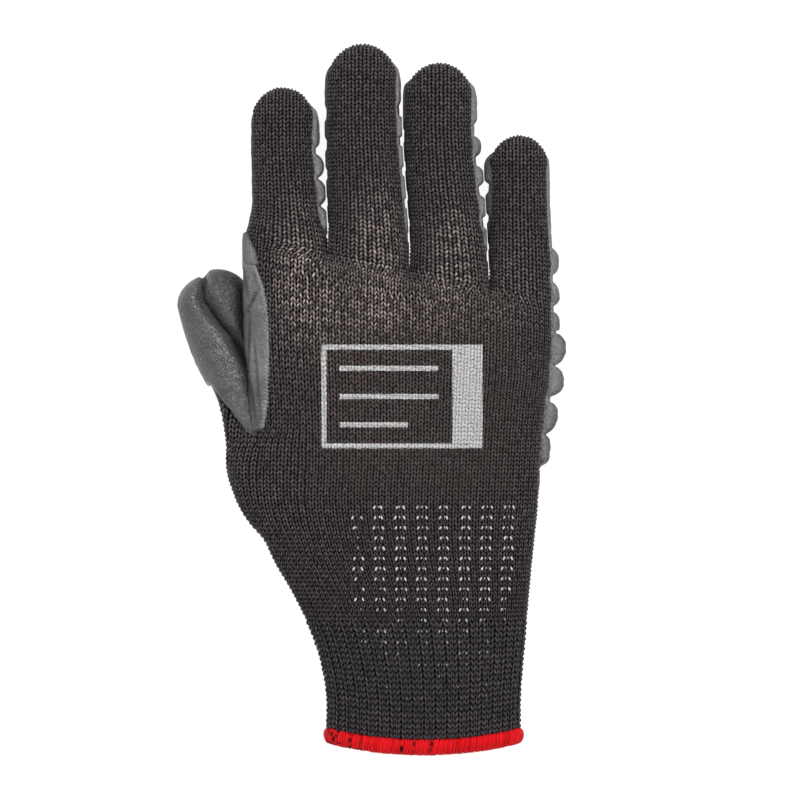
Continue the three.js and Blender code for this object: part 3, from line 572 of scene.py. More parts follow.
def cloth_from_grid(name: str, points: Array, marks: dict[str, Array], closed: bool, wall: float) -> bpy.types.Object:
    """Shapes a grid into a sheet or tube and gives it a wall.

    Args:
        name: Name of the piece.
        points: Points, rows by columns, whose outside lies to the left of rows crossed with columns.
        marks: Numbers at each point, by attribute name.
        closed: Whether the last column meets the first.
        wall: Thickness that is added inwards.

    Returns:
        The new object.
    """
    rows, columns = points.shape[:2]
    clear_selection()
    bpy.ops.mesh.primitive_grid_add(x_subdivisions=columns - 1, y_subdivisions=rows - 1, size=1.0, calc_uvs=True)
    piece = bpy.context.object
    piece.name = piece.data.name = name
    piece.data.vertices.foreach_set("co", in_metres(points))
    for mark, values in marks.items():
        set_attribute(piece.data, mark, values)
    piece.data.update()
    bpy.ops.object.mode_set(mode="EDIT")
    bpy.ops.mesh.select_all(action="SELECT")
    bpy.ops.mesh.remove_doubles(threshold=2e-6)
    if closed:
        bpy.ops.mesh.normals_make_consistent(inside=False)
    bpy.ops.object.mode_set(mode="OBJECT")
    if wall > 0:
        modifier = piece.modifiers.new("wall", "SOLIDIFY")
        modifier.thickness = wall * MM
        modifier.offset = -1.0
        modifier.use_even_offset = False
        bpy.ops.object.modifier_apply(modifier=modifier.name)
    bpy.ops.object.shade_smooth()
    return piece


@dataclass(frozen=True)
class Bead:
    """One short length of yarn, modelled once: its points, faces and UVs."""

    points: Array
    loops: Array
    sizes: Array
    uvs: Array

    @staticmethod
    def model(sides: int, rings: int) -> "Bead":
        """Models the bead from a sphere.

        Args:
            sides: Faces round it.
            rings: Bands along it.

        Returns:
            The bead, with z from -1 to 1 along the yarn.
        """
        clear_selection()
        bpy.ops.mesh.primitive_uv_sphere_add(segments=sides, ring_count=rings, radius=1.0, calc_uvs=True)
        piece = bpy.context.object
        mesh = piece.data
        points = np.zeros(len(mesh.vertices) * 3)
        loops = np.zeros(len(mesh.loops), int)
        sizes = np.zeros(len(mesh.polygons), int)
        uvs = np.zeros(len(mesh.loops) * 2)
        mesh.vertices.foreach_get("co", points)
        mesh.loops.foreach_get("vertex_index", loops)
        mesh.polygons.foreach_get("loop_total", sizes)
        mesh.uv_layers.active.data.foreach_get("uv", uvs)
        bpy.data.objects.remove(piece)
        bpy.data.meshes.remove(mesh)
        return Bead(points.reshape(-1, 3), loops, sizes, uvs.reshape(-1, 2))


def copies_of(bead: Bead, name: str, points: Array, marks: dict[str, Array]) -> bpy.types.Object:
    """Joins many copies of a bead into one mesh.

    Args:
        bead: The bead that each copy repeats.
        name: Name of the piece.
        points: Points of every copy, copies by the bead's points by 3.
        marks: One number for each copy, or for each of its points, by attribute name.

    Returns:
        The new object.
    """
    count, size = points.shape[:2]
    mesh = bpy.data.meshes.new(name)
    mesh.vertices.add(count * size)
    mesh.vertices.foreach_set("co", in_metres(points))
    loops = (bead.loops[None] + size * np.arange(count)[:, None]).astype(np.int32).ravel()
    sizes = np.tile(bead.sizes, count).astype(np.int32)
    mesh.loops.add(len(loops))
    mesh.loops.foreach_set("vertex_index", loops)
    mesh.polygons.add(len(sizes))
    mesh.polygons.foreach_set("loop_start", np.concatenate([[0], np.cumsum(sizes)[:-1]]).astype(np.int32))
    mesh.polygons.foreach_set("loop_total", sizes)
    mesh.uv_layers.new(name="UVMap")
    mesh.uv_layers.active.data.foreach_set("uv", np.tile(bead.uvs, (count, 1)).astype(np.float32).ravel())
    for mark, values in marks.items():
        set_attribute(mesh, mark, values if values.ndim == 2 else np.repeat(values, size))
    mesh.update(calc_edges=True)
    mesh.validate()
    mesh.shade_smooth()
    piece = bpy.data.objects.new(name, mesh)
    bpy.context.scene.collection.objects.link(piece)
    return piece


def hand_in(piece: bpy.types.Object, material: bpy.types.Material, nodes: tuple[str, ...] = ()) -> None:
    """Dresses a piece, ties it to the frame and reports it.

    Args:
        piece: The finished piece.
        material: Its material.
        nodes: CAD nodes that it stands for.
    """
    piece.data.materials.clear()
    piece.data.materials.append(material)
    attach(piece, "root")
    if nodes:
        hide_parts(*nodes)
    LOG.info("%s: %d faces", piece.name, len(piece.data.polygons))


class Recipe:
    """A material under construction."""

    def __init__(self, name: str) -> None:
        """Starts an empty material with one Principled shader."""
        self.material = bpy.data.materials.new(name)
        self.material.use_nodes = True
        self.tree = self.material.node_tree
        self.shader = self.tree.nodes["Principled BSDF"]

    def put(self, socket: bpy.types.NodeSocket, value: object) -> None:
        """Links a socket, or sets its value."""
        if isinstance(value, bpy.types.NodeSocket):
            self.tree.links.new(value, socket)
        else:
            socket.default_value = value

    def node(self, kind: str, out: int | str = 0, settings: dict[str, object] | None = None, **inputs: object) -> bpy.types.NodeSocket:
        """Adds a node.

        Args:
            kind: Node type without its ShaderNode prefix.
            out: The output that is returned.
            settings: Values of the node's own properties.
            inputs: Values or sockets by input name, with underscores for spaces, or i0, i1 by place.

        Returns:
            The chosen output socket.
        """
        node = self.tree.nodes.new("ShaderNode" + kind)
        for name, value in (settings or {}).items():
            setattr(node, name, value)
        for name, value in inputs.items():
            by_place = len(name) == 2 and name[0] == "i" and name[1].isdigit()
            self.put(node.inputs[int(name[1])] if by_place else node.inputs[name.replace("_", " ")], value)
        return node.outputs[out]

    def math(self, operation: str, a: object, b: object = 0.0, c: object = 0.0) -> bpy.types.NodeSocket:
        """Adds a Math node."""
        return self.node("Math", settings={"operation": operation}, i0=a, i1=b, i2=c)

    def mark(self, name: str) -> bpy.types.NodeSocket:
        """Reads a number of the mesh."""
        return self.node("Attribute", "Fac", {"attribute_name": name})

    def mix(self, amount: object, a: object, b: object) -> bpy.types.NodeSocket:
        """Mixes two colours."""
        node = self.tree.nodes.new("ShaderNodeMix")
        node.data_type = "RGBA"
        for place, value in ((0, amount), (6, a), (7, b)):
            self.put(node.inputs[place], value)
        return node.outputs[2]

    def ramp(self, value: object, low: float, high: float) -> bpy.types.NodeSocket:
        """Smoothly maps low to 0 and high to 1."""
        settings = {"interpolation_type": "SMOOTHSTEP"}
        return self.node("MapRange", settings=settings, Value=value, From_Min=low, From_Max=high)

    def noise(self, scale: float, detail: float = 2.0, vector: object = None, distortion: float = 0.0) -> bpy.types.NodeSocket:
        """Adds noise on Object coordinates in metres, or on some vector."""
        vector = vector or self.place()
        return self.node("TexNoise", "Fac", Vector=vector, Scale=scale, Detail=detail, Distortion=distortion)

    def place(self) -> bpy.types.NodeSocket:
        """Object coordinates."""
        return self.node("TexCoord", "Object")

    def bump(self, height: object, depth: float, strength: float, under: object = None) -> bpy.types.NodeSocket:
        """Adds relief."""
        extra = {"Normal": under} if under is not None else {}
        return self.node("Bump", "Normal", Height=height, Distance=depth, Strength=strength, **extra)

    def finish(self, **inputs: object) -> bpy.types.Material:
        """Sets the shader's sockets and hands the material over."""
        for name, value in inputs.items():
            self.put(self.shader.inputs[name.replace("_", " ")], value)
        return self.material


Colour = tuple[float, float, float, float]


@dataclass(frozen=True)
class PrintMarks:
    """Plain printed bars in pixels of the picture: left, top, right and bottom of each."""

    bars: tuple[tuple[float, float, float, float], ...] = (
        (322, 345, 482, 350),
        (322, 443, 482, 448),
        (322, 345, 327, 448),
        (452, 345, 482, 448),
        (340, 366, 438, 371),
        (340, 394, 438, 399),
        (340, 422, 408, 427),
    )
    back_height: float = 0.024

    def mask(self, recipe: Recipe) -> bpy.types.NodeSocket:
        """Where the ink lies, as a number of a material.

        Args:
            recipe: The material that is being made.

        Returns:
            A socket that is 1 on the ink and 0 elsewhere.
        """
        place = recipe.node("SeparateXYZ", "X", Vector=recipe.place()).node
        x, y, z = place.outputs
        wobble = recipe.math("MULTIPLY", recipe.math("SUBTRACT", recipe.noise(900.0, 1.0), 0.5), 0.0005)
        x, y = recipe.math("ADD", x, wobble), recipe.math("ADD", y, wobble)
        ink: bpy.types.NodeSocket | None = None
        for left, top, right, bottom in self.bars:
            (x0, y0), (x1, y1) = from_picture(left, top), from_picture(right, bottom)
            middle = ((x0 + x1) / 2 + ORIGIN[0], (y0 + y1) / 2 + ORIGIN[1])
            across = recipe.math("COMPARE", x, middle[0] * MM, abs(x1 - x0) / 2 * MM)
            along = recipe.math("COMPARE", y, middle[1] * MM, abs(y1 - y0) / 2 * MM)
            bar = recipe.math("MULTIPLY", across, along)
            ink = bar if ink is None else recipe.math("MAXIMUM", ink, bar)
        above = recipe.math("GREATER_THAN", z, self.back_height)
        worn = recipe.math("GREATER_THAN", recipe.noise(1500.0, 2.0), 0.34)
        return recipe.math("MULTIPLY", recipe.math("MULTIPLY", ink, above), worn)


@dataclass(frozen=True)
class YarnFinish:
    """Matte twisted yarn with a random tint for each stitch, a painted highlight along each leg's top and painted
    glints.
    """

    name: str
    deep: Colour
    light: Colour
    warm: Colour
    glint: Colour = (0.92, 0.76, 0.68, 1.0)
    ink: Colour = (0.86, 0.85, 0.85, 1.0)
    roughness: float = 0.5
    specular: float = 0.3
    sheen: float = 0.05
    ply: float = 5.0
    printed: bool = False

    def material(self) -> bpy.types.Material:
        """Makes the material.

        Returns:
            The finished material.
        """
        recipe = Recipe(self.name)
        # Painted highlight: each leg is mixed from deep towards light along its top, scaled by the stitch's random
        # tint.
        painted_highlight = recipe.mark("painted_highlight")
        shade = recipe.math("MULTIPLY", painted_highlight, recipe.math("MULTIPLY_ADD", recipe.mark("tint"), 0.7, 0.3))
        colour = recipe.mix(shade, self.deep, self.light)
        brown = recipe.math("MULTIPLY", recipe.mark("warm"), recipe.ramp(recipe.noise(120.0, 2.0), 0.3, 0.7))
        brown = recipe.math("MULTIPLY", brown, recipe.math("MULTIPLY_ADD", painted_highlight, 0.75, 0.25))
        colour = recipe.mix(brown, colour, self.warm)
        colour = recipe.mix(recipe.math("MULTIPLY", recipe.mark("glint"), painted_highlight), colour, self.glint)
        if self.printed:
            colour = recipe.mix(PrintMarks().mask(recipe), colour, self.ink)
        uv = recipe.node("TexCoord", "UV")
        twist = {"wave_type": "BANDS", "bands_direction": "DIAGONAL", "wave_profile": "SIN"}
        strands = recipe.node("TexWave", "Fac", twist, Vector=uv, Scale=self.ply, Distortion=0.6, Detail=1.0)
        fuzz = recipe.noise(9000.0, 2.0)
        relief = recipe.bump(fuzz, 0.00008, 0.5, recipe.bump(strands, 0.00016, 0.7))
        return recipe.finish(
            Base_Color=colour,
            Roughness=self.roughness,
            Sheen_Weight=self.sheen,
            Sheen_Roughness=0.4,
            Specular_IOR_Level=self.specular,
            Normal=relief,
        )


@dataclass(frozen=True)
class LiningFinish:
    """Dark inner loops that show between the stitches, and the rubber's brown through the palm."""

    name: str = "inner_loops"
    deep: Colour = (0.006, 0.005, 0.005, 1.0)
    brown: Colour = (0.03, 0.021, 0.016, 1.0)
    ink: Colour = (0.62, 0.61, 0.61, 1.0)

    def material(self) -> bpy.types.Material:
        """Makes the material.

        Returns:
            The finished material.
        """
        recipe = Recipe(self.name)
        colour = recipe.mix(recipe.mark("warm"), self.deep, self.brown)
        colour = recipe.mix(recipe.math("MULTIPLY", recipe.noise(700.0, 3.0), 0.5), colour, self.deep)
        colour = recipe.mix(PrintMarks().mask(recipe), colour, self.ink)
        uv = recipe.node("TexCoord", "UV")
        rings = {"wave_type": "BANDS", "bands_direction": "Y", "wave_profile": "SIN"}
        loops = recipe.node("TexWave", "Fac", rings, Vector=uv, Scale=38.0, Distortion=1.5, Detail=2.0)
        relief = recipe.bump(loops, 0.0003, 0.8, recipe.bump(recipe.noise(4000.0, 2.0), 0.0001, 0.5))
        return recipe.finish(Base_Color=colour, Roughness=0.9, Specular_IOR_Level=0.2, Normal=relief)


@dataclass(frozen=True)
class RubberFinish:
    """Moulded nitrile-like rubber with a fine leather grain, lighter rims and painted shade."""

    name: str
    deep: Colour
    light: Colour
    rim: Colour = (0.3, 0.3, 0.31, 1.0)
    grain: float = 1.0
    roughness: tuple[float, float] = (0.27, 0.46)

    def material(self) -> bpy.types.Material:
        """Makes the material.

        Returns:
            The finished material.
        """
        recipe = Recipe(self.name)
        cloud = recipe.ramp(recipe.noise(60.0, 3.0, distortion=0.5), 0.3, 0.72)
        colour = recipe.mix(cloud, self.deep, self.light)
        # Painted shade: the mark darkens the rubber towards brown-black where shade falls.
        colour = recipe.mix(recipe.mark("painted_shade_and_specks"), colour, (0.028, 0.024, 0.022, 1.0))
        speck = recipe.math("MULTIPLY", recipe.ramp(recipe.noise(1400.0, 2.0), 0.6, 0.72), 0.35)
        colour = recipe.mix(speck, colour, self.rim)
        # Lighter along the coat's rims.
        colour = recipe.mix(recipe.mark("rim"), colour, self.rim)
        cells = recipe.node("TexVoronoi", "Distance", {"feature": "F1"}, Vector=recipe.place(), Scale=950.0)
        pores = recipe.bump(cells, 0.00012 * self.grain, 0.5)
        cell = {"feature": "DISTANCE_TO_EDGE"}
        warp = recipe.node("TexNoise", "Color", Vector=recipe.place(), Scale=160.0, Detail=2.0)
        bent = recipe.node("VectorMath", "Vector", {"operation": "MULTIPLY_ADD"}, i0=warp, i1=(0.004,) * 3, i2=recipe.place())
        creases = recipe.node("TexVoronoi", "Distance", cell, Vector=bent, Scale=620.0)
        leather = recipe.bump(recipe.ramp(creases, 0.0, 0.2), 0.0002 * self.grain, 0.7, pores)
        swell = recipe.bump(recipe.noise(420.0, 3.0, distortion=0.8), 0.0009 * self.grain, 0.7, leather)
        low, high = self.roughness
        shine = recipe.node("MapRange", Value=recipe.noise(330.0, 3.0), From_Min=0.3, From_Max=0.7, To_Min=low, To_Max=high)
        shine = recipe.math("MULTIPLY_ADD", recipe.mark("painted_shade_and_specks"), 0.3, shine)
        return recipe.finish(Base_Color=colour, Roughness=shine, Specular_IOR_Level=0.6, Normal=swell)


# For the knitted yarns the light colour is the painted highlight along each leg's top.
BLACK_YARN = YarnFinish("black_yarn", (0.003, 0.002, 0.0025, 1), (0.24, 0.198, 0.212, 1), (0.1, 0.07, 0.056, 1), printed=True)
CUFF_YARN = YarnFinish("cuff_yarn", (0.003, 0.0022, 0.003, 1), (0.18, 0.154, 0.175, 1), (0.08, 0.062, 0.055, 1))
# Colours of the bright flecks painted where light shows through the wrist's stitches.
BACKLIGHT_FLECK_YARN = YarnFinish("painted_backlight_flecks", (0.05, 0.045, 0.045, 1), (0.5, 0.47, 0.46, 1), (0.5, 0.45, 0.4, 1), (1.0, 0.97, 0.94, 1))
RED_YARN = YarnFinish(
    "red_overlock_yarn",
    (0.5, 0.001, 0.004, 1),
    (1.0, 0.012, 0.018, 1),
    (0.012, 0.003, 0.003, 1),
    specular=0.12,
    sheen=0.0,
    ply=4.0,
)
PALM_RUBBER = RubberFinish("grey_rubber", (0.085, 0.086, 0.091, 1), (0.19, 0.191, 0.197, 1), grain=1.1)
SLEEVE_RUBBER = RubberFinish(
    "sleeve_rubber", (0.046, 0.046, 0.048, 1), (0.085, 0.085, 0.089, 1), grain=0.75, roughness=(0.22, 0.38)
)


# Knitted pieces


@dataclass
class Stitches:
    """Places and frames of many stitches."""

    place: Array
    wale: Array  # across one wale
    course: Array  # along one course
    normal: Array
    column: Array  # number of the stitch's wale
    line: Array  # number of its course

    @staticmethod
    def from_grid(points: Array, columns: Array, lines: Array) -> "Stitches":
        """Takes one stitch at each point of a grid.

        Args:
            points: Courses by wales by 3.
            columns: Number of each wale.
            lines: Number of each course.

        Returns:
            The stitches.
        """
        wale, course = np.gradient(points, axis=1), np.gradient(points, axis=0)
        lean = np.sum(course * unit(wale), -1, keepdims=True)
        most = 0.35 * np.median(np.linalg.norm(wale, axis=-1))
        course = course - unit(wale) * (lean - np.clip(lean, -most, most))
        normal = unit(np.cross(wale, course))
        shape = points.shape[:2]
        column = np.broadcast_to(columns[None, :], shape)
        line = np.broadcast_to(lines[:, None], shape)
        return Stitches(*(v.reshape(-1, 3) for v in (points, wale, course, normal)), column.ravel(), line.ravel())

    def join(self, other: "Stitches") -> "Stitches":
        """These stitches and others."""
        names = ("place", "wale", "course", "normal", "column", "line")
        return Stitches(*(np.concatenate([getattr(self, name), getattr(other, name)]) for name in names))

    def keep(self, chosen: Array) -> "Stitches":
        """Only the chosen stitches."""
        names = ("place", "wale", "course", "normal", "column", "line")
        return Stitches(*(getattr(self, name)[chosen] for name in names))


@dataclass
class Knitter:
    """Lays two legs of yarn for each stitch."""

    seed: int = 7
    sides: int = 4
    bands: int = 4
    leg_reach: float = 0.64  # courses from the stitch's middle to a leg's end
    leg_near: float = 0.11  # wales from the wale's middle, at the top of the leg
    leg_far: float = 0.37
    thickness: tuple[float, float] = (0.19, 0.36)  # half width in wales, half height in millimetres
    arch: float = 0.5
    sink: float = -0.5
    jitter: float = 0.06
    bead: Bead = field(init=False)

    def __post_init__(self) -> None:
        """Models the bead."""
        self.bead = Bead.model(self.sides, self.bands)

    def legs(self, stitches: Stitches, lift: Array | float = 0.0) -> tuple[Array, Array]:
        """Points of every leg.

        Args:
            stitches: Places of the stitches.
            lift: Extra height of each stitch.

        Returns:
            Points, legs by the bead's points by 3, and the number of the stitch of each leg.
        """
        chance = np.random.default_rng(self.seed)
        count = len(stitches.place)
        t = (self.bead.points[:, 2] + 1) / 2
        ease = t * t * (3 - 2 * t)
        parts = []
        for hand in (-1.0, 1.0):
            size = chance.normal(1.0, 0.07, (count, 1, 1))
            shift = chance.normal(0.0, self.jitter, (count, 1, 3))
            u = hand * lerp(self.leg_near, self.leg_far, ease)
            v = self.leg_reach * (1 - 2 * t)
            n = self.sink + self.arch * np.sin(math.pi * t)
            wale, course, normal = (a[:, None, :] for a in (stitches.wale, stitches.course, stitches.normal))
            along = unit(hand * (self.leg_far - self.leg_near) * wale - 2 * self.leg_reach * course)
            aside = np.cross(normal, along)
            pitch = np.linalg.norm(wale, axis=-1, keepdims=True)
            rise = np.broadcast_to(np.asarray(lift, float), (count,))[:, None, None]
            points = stitches.place[:, None, :] + wale * u[None, :, None] + course * v[None, :, None]
            points = points + normal * (n[None, :, None] + rise) + shift
            points = points + aside * (self.bead.points[:, 0][None, :, None] * pitch * self.thickness[0] * size)
            points = points + normal * (self.bead.points[:, 1][None, :, None] * self.thickness[1] * size)
            parts.append(points)
        return np.concatenate(parts), np.tile(np.arange(count), 2)

    def knit(self, name: str, stitches: Stitches, zones: "Zones", lift: Array | float = 0.0) -> bpy.types.Object:
        """Makes a knitted piece.

        Args:
            name: Name of the piece.
            stitches: Its stitches.
            zones: Where the yarn is warm or bright.
            lift: Extra height of each stitch.

        Returns:
            The new object.
        """
        points, owner = self.legs(stitches, lift)
        chance = np.random.default_rng(self.seed + 1)
        tint = np.clip(chance.normal(0.45, 0.22, len(owner)), 0, 1)
        tint = tint * lerp(0.72, 1.0, smooth((stitches.place[owner, 1] - 34) / 36))
        warm, glint = zones.at(stitches.place)
        flicker = chance.uniform(0.0, 1.0, len(owner)) ** 1.3
        marks = {"tint": tint, "warm": warm[owner], "glint": glint[owner] * flicker, "painted_highlight": self.painted_highlight(len(owner))}
        return copies_of(self.bead, name, points, marks)

    def painted_highlight(self, count: int) -> Array:
        """How far each point of each leg lies on the painted highlight along the leg's upper side."""
        z, y = self.bead.points[:, 2], self.bead.points[:, 1]
        line = smooth(y) * (1 - z * z) ** 0.75 + 0.06 * (y > -0.2)
        return np.broadcast_to(np.clip(line, 0, 1), (count, len(z)))


@dataclass(frozen=True)
class Zones:
    """Soft spots on the back where the stretched yarn shines, and where the palm's brown shows through."""

    spots: tuple[tuple[float, float, float, float, float], ...] = (
        (302, 262, 22, 54, 0.75),
        (379, 250, 22, 56, 0.9),
        (452, 260, 20, 52, 0.75),
        (312, 305, 34, 42, 0.65),
        (395, 312, 70, 28, 0.6),
        (505, 290, 24, 50, 0.25),
        (400, 400, 130, 80, 0.1),
    )
    brown_top: float = 300.0
    brown_bottom: float = 497.0

    def at(self, points: Array) -> tuple[Array, Array]:
        """Warmth and brightness at points.

        Args:
            points: Points of the working grid.

        Returns:
            Two numbers from 0 to 1 for each point.
        """
        x = (points[..., 0] + 10.0) / PIXEL + 372.0
        y = 400.5 - (points[..., 1] - 114.3) / PIXEL
        back = smooth((points[..., 2] - 20.0) / 4.0)
        glint = np.zeros(x.shape)
        for middle_x, middle_y, wide, tall, power in self.spots:
            glint += power * np.exp(-(((x - middle_x) / wide) ** 2) - ((y - middle_y) / tall) ** 2)
        inside = smooth((x - 285) / 70) * (1 - smooth((x - 500) / 40))
        along = smooth((y - self.brown_top + 40) / 90) * (1 - smooth((y - self.brown_bottom + 8) / 12))
        return back * inside * along * 0.75, np.clip(back * glint, 0, 1)


@dataclass
class Liner:
    """The knitted cuff, hand, fingers and their inner loops."""

    knitter: Knitter
    zones: Zones = field(default_factory=Zones)
    wales: int = 52  # over the back
    cuff_length: float = 48.0
    cuff_course: float = 1.8
    cuff_ribs: int = 19  # over the back
    rib_top: float = 37.0  # where the ribs give way to the plain knit
    hand_course: float = 1.5
    finger_course: float = 1.45
    finger_wales: tuple[int, ...] = (13, 14, 13, 12)
    heel_end: float = 6.5
    rib_wales: int = 3
    rib_depth: float = 0.3
    stub_form: HandForm = field(default_factory=lambda: HandForm(thumb_fade=7.5))
    stub_rows: tuple[float, float] = (5.9, 7.5)
    stub_into: float = 3.0  # how far the thumb's knit runs into its sleeve

    def ring_turns(self, start: float, end: float) -> tuple[Array, Array]:
        """Turns of the wales between two turns, with the wales' numbers."""
        first, last = math.ceil(start * self.wales - 0.5), math.floor(end * self.wales - 0.5)
        columns = np.arange(first, last + 1)
        return (columns + 0.5) / self.wales, columns

    def ring_stitches(self, lengths: Array, start: float, end: float, first_line: int) -> Stitches:
        """Stitches of the hand or cuff.

        Args:
            lengths: Length of each course above the hem seam.
            start: First turn.
            end: Last turn.
            first_line: Number of the first course.

        Returns:
            The stitches.
        """
        turns, columns = self.ring_turns(start, end)
        rows = HAND.rows_at(lengths)
        points = HAND.skin(rows, np.broadcast_to(turns, (len(rows), len(turns))))
        return Stitches.from_grid(points, columns, np.arange(first_line, first_line + len(rows)))

    def rib_lift(self, stitches: Stitches, strength: float) -> Array:
        """Height of the cuff's ribs, which fade out up the wrist."""
        groove = np.mod(stitches.column, self.rib_wales) == 0
        fade = 1 - smooth((stitches.place[:, 1] - 22) / 40)
        calm = 1 - 0.6 * smooth((stitches.place[:, 0] - 2) / 14) * (stitches.place[:, 2] > 14)
        return -self.rib_depth * groove * fade * calm * strength

    def make_cuff(self, material: bpy.types.Material) -> None:
        """Knits the cuff's ribs, each a chain of broad stitches between two grooves."""
        lengths = np.arange(0.5, self.rib_top, self.cuff_course)
        turns = (np.arange(2 * self.cuff_ribs) + 0.5) / self.cuff_ribs
        rows = HAND.rows_at(lengths)
        points = HAND.skin(rows, np.broadcast_to(turns, (len(rows), len(turns))))
        stitches = Stitches.from_grid(points, np.arange(len(turns)), np.arange(len(rows)))
        chains = Knitter(seed=11, leg_near=0.07, leg_far=0.27, thickness=(0.125, 0.42), arch=0.55, sink=-0.45)
        hand_in(chains.knit("yarn_cuff_ribs", stitches, self.zones), material)
        between = HAND.skin(rows, np.broadcast_to(turns + 0.5 / self.cuff_ribs, (len(rows), len(turns))))
        grooves = Stitches.from_grid(between, np.arange(len(turns)), np.arange(len(rows)))
        calm = 0.3 * smooth((grooves.place[:, 0] - 2) / 14) * (grooves.place[:, 2] > 14)
        fillers = Knitter(seed=12, leg_near=0.05, leg_far=0.16, thickness=(0.1, 0.3), arch=0.3, sink=-0.75)
        hand_in(fillers.knit("yarn_cuff_grooves", grooves, self.zones, calm), material)

    def make_hand(self, material: bpy.types.Material) -> None:
        """Knits the heel of the hand and the knuckles."""
        split = HAND.section(np.array([self.heel_end, HAND.split_row, 5.3]))
        ends = (split["left_y"] + split["right_y"]) / 2
        bottom = self.rib_top + (self.cuff_course + self.hand_course) / 2 - 0.5
        top = ends[1] - self.hand_course / 2
        lengths = np.linspace(bottom, top, round((top - bottom) / self.hand_course) + 1)
        round_part = lengths[lengths < ends[2]]
        back_part = lengths[(lengths >= ends[2]) & (lengths < ends[0])]
        heel = self.ring_stitches(round_part, -0.004, 1.996, 0)
        heel = heel.join(self.ring_stitches(back_part, -0.3, 1.08, len(round_part)))
        hand_in(self.knitter.knit("yarn_heel", heel, self.zones, self.rib_lift(heel, 1.0)), material)
        upper = lengths[lengths >= ends[0]]
        knuckles = self.ring_stitches(upper, -0.03, 1.08, len(lengths) - len(upper))
        hand_in(self.knitter.knit("yarn_knuckles", knuckles, self.zones), material)

    def make_stub(self, yarn: bpy.types.Material, loops: bpy.types.Material) -> None:
        """Knits the thumb's root up into its sleeve and lines it.

        Args:
            yarn: Material of the stitches.
            loops: Material of the lining.
        """
        size = HAND.section(np.array(self.stub_rows))
        ends = (size["left_y"] + size["right_y"]) / 2
        lengths = np.arange(ends[0], ends[1], self.hand_course)
        turns, columns = self.ring_turns(-0.5, 0.065)
        rows = HAND.rows_at(lengths)
        grid = np.broadcast_to(turns, (len(rows), len(turns)))
        points = self.stub_form.skin(rows, grid)
        stitches = Stitches.from_grid(points, columns, np.arange(len(rows)))
        swell = np.linalg.norm(points - HAND.skin(rows, grid), axis=-1).ravel()
        chosen = (swell > 0.4) & (THUMB.edge_distance(stitches.place, False) < self.stub_into)
        piece = self.knitter.knit("yarn_thumb_root", stitches.keep(chosen), self.zones)
        hand_in(piece, yarn)

        turns = np.linspace(0, 2, 61)
        place = np.linspace(0.3, 0.72, 30)
        grid = np.broadcast_to(turns, (len(place), len(turns)))
        tube = THUMB.skin(np.broadcast_to(place[:, None], grid.shape), grid, -2.5)
        tube[:, -1] = tube[:, 0]
        piece = cloth_from_grid("lining_thumb_root", tube, {"warm": np.zeros(grid.shape)}, True, 0.5)
        hand_in(piece, loops)

    def tip_stitches(self, finger: FingerForm, wales: int) -> Stitches:
        """Stitches that run over a rounded fingertip, each wale at its own distance across.

        Args:
            finger: The finger.
            wales: Wales over its back.

        Returns:
            The stitches.
        """
        shank = finger.shank()
        f = {name: float(value) for name, value in finger.frame(np.array(shank)).items()}
        run = finger.length - shank
        parts = []
        for k in range(-1, wales + 1):
            across = -math.cos(math.pi * (k + 0.5) / wales)
            if abs(across) > 0.985:
                continue
            cap = math.sqrt(1 - across * across)
            arc = np.linspace(0, math.radians(148), 60)
            y, z = run * cap * np.sin(arc), f["half_depth"] * cap * np.cos(arc)
            length = np.concatenate([[0], np.cumsum(np.hypot(np.diff(y), np.diff(z)))])
            spots = np.arange(self.finger_course * 0.5, length[-1], self.finger_course)
            if len(spots) < 2:
                continue
            angle = np.interp(spots, length, arc)
            x = np.full(len(angle), f["half_width"] * across)
            local = np.stack([x, run * cap * np.sin(angle), f["half_depth"] * cap * np.cos(angle)], -1)
            slope = np.stack([np.zeros(len(angle)), run * np.cos(angle), -f["half_depth"] * np.sin(angle)], -1)
            size = np.array([f["half_width"], run, f["half_depth"]])
            normal = unit(local / size**2)
            course = unit(slope) * self.finger_course
            turn = math.pi / wales * cap
            step = np.stack(
                [
                    np.full(len(angle), f["half_width"] * turn),
                    -run * across / cap * np.sin(angle) * turn,
                    -f["half_depth"] * across / cap * np.cos(angle) * turn,
                ],
                -1,
            )
            wale = step - unit(course) * np.sum(step * unit(course), -1, keepdims=True)
            middle = np.array([f["x"], f["y"], f["z"]])
            parts.append(Stitches(local + middle, wale, course, normal, np.full(len(angle), k), np.arange(len(angle))))
        joined = parts[0]
        for part in parts[1:]:
            joined = joined.join(part)
        return joined

    def make_finger(self, finger: FingerForm, material: bpy.types.Material) -> None:
        """Knits one finger and its tip."""
        wales = self.finger_wales[finger.index]
        bottom, top = self.finger_course * 0.35 - finger.web(), finger.shank() - self.finger_course / 2
        lengths = np.linspace(bottom, top, round((top - bottom) / self.finger_course) + 1)
        first, last = -2, wales + 1
        turns = (np.arange(first, last + 1) + 0.5) / wales
        points = finger.skin(lengths, np.broadcast_to(turns, (len(lengths), len(turns))), -SEAT_GAP / 2)
        columns, lines, web = np.arange(first, last + 1), np.arange(len(lengths)), lengths < 0
        stitches = Stitches.from_grid(points[~web], columns, lines[~web]).join(self.tip_stitches(finger, wales))
        inner = slice(0 if finger.index == 0 else 2, None if finger.index == len(FINGERS) - 1 else -2)
        stitches = stitches.join(Stitches.from_grid(points[web][:, inner], columns[inner], lines[web]))
        piece = self.knitter.knit(f"yarn_{finger.name}_finger", stitches, self.zones)
        hand_in(piece, material)

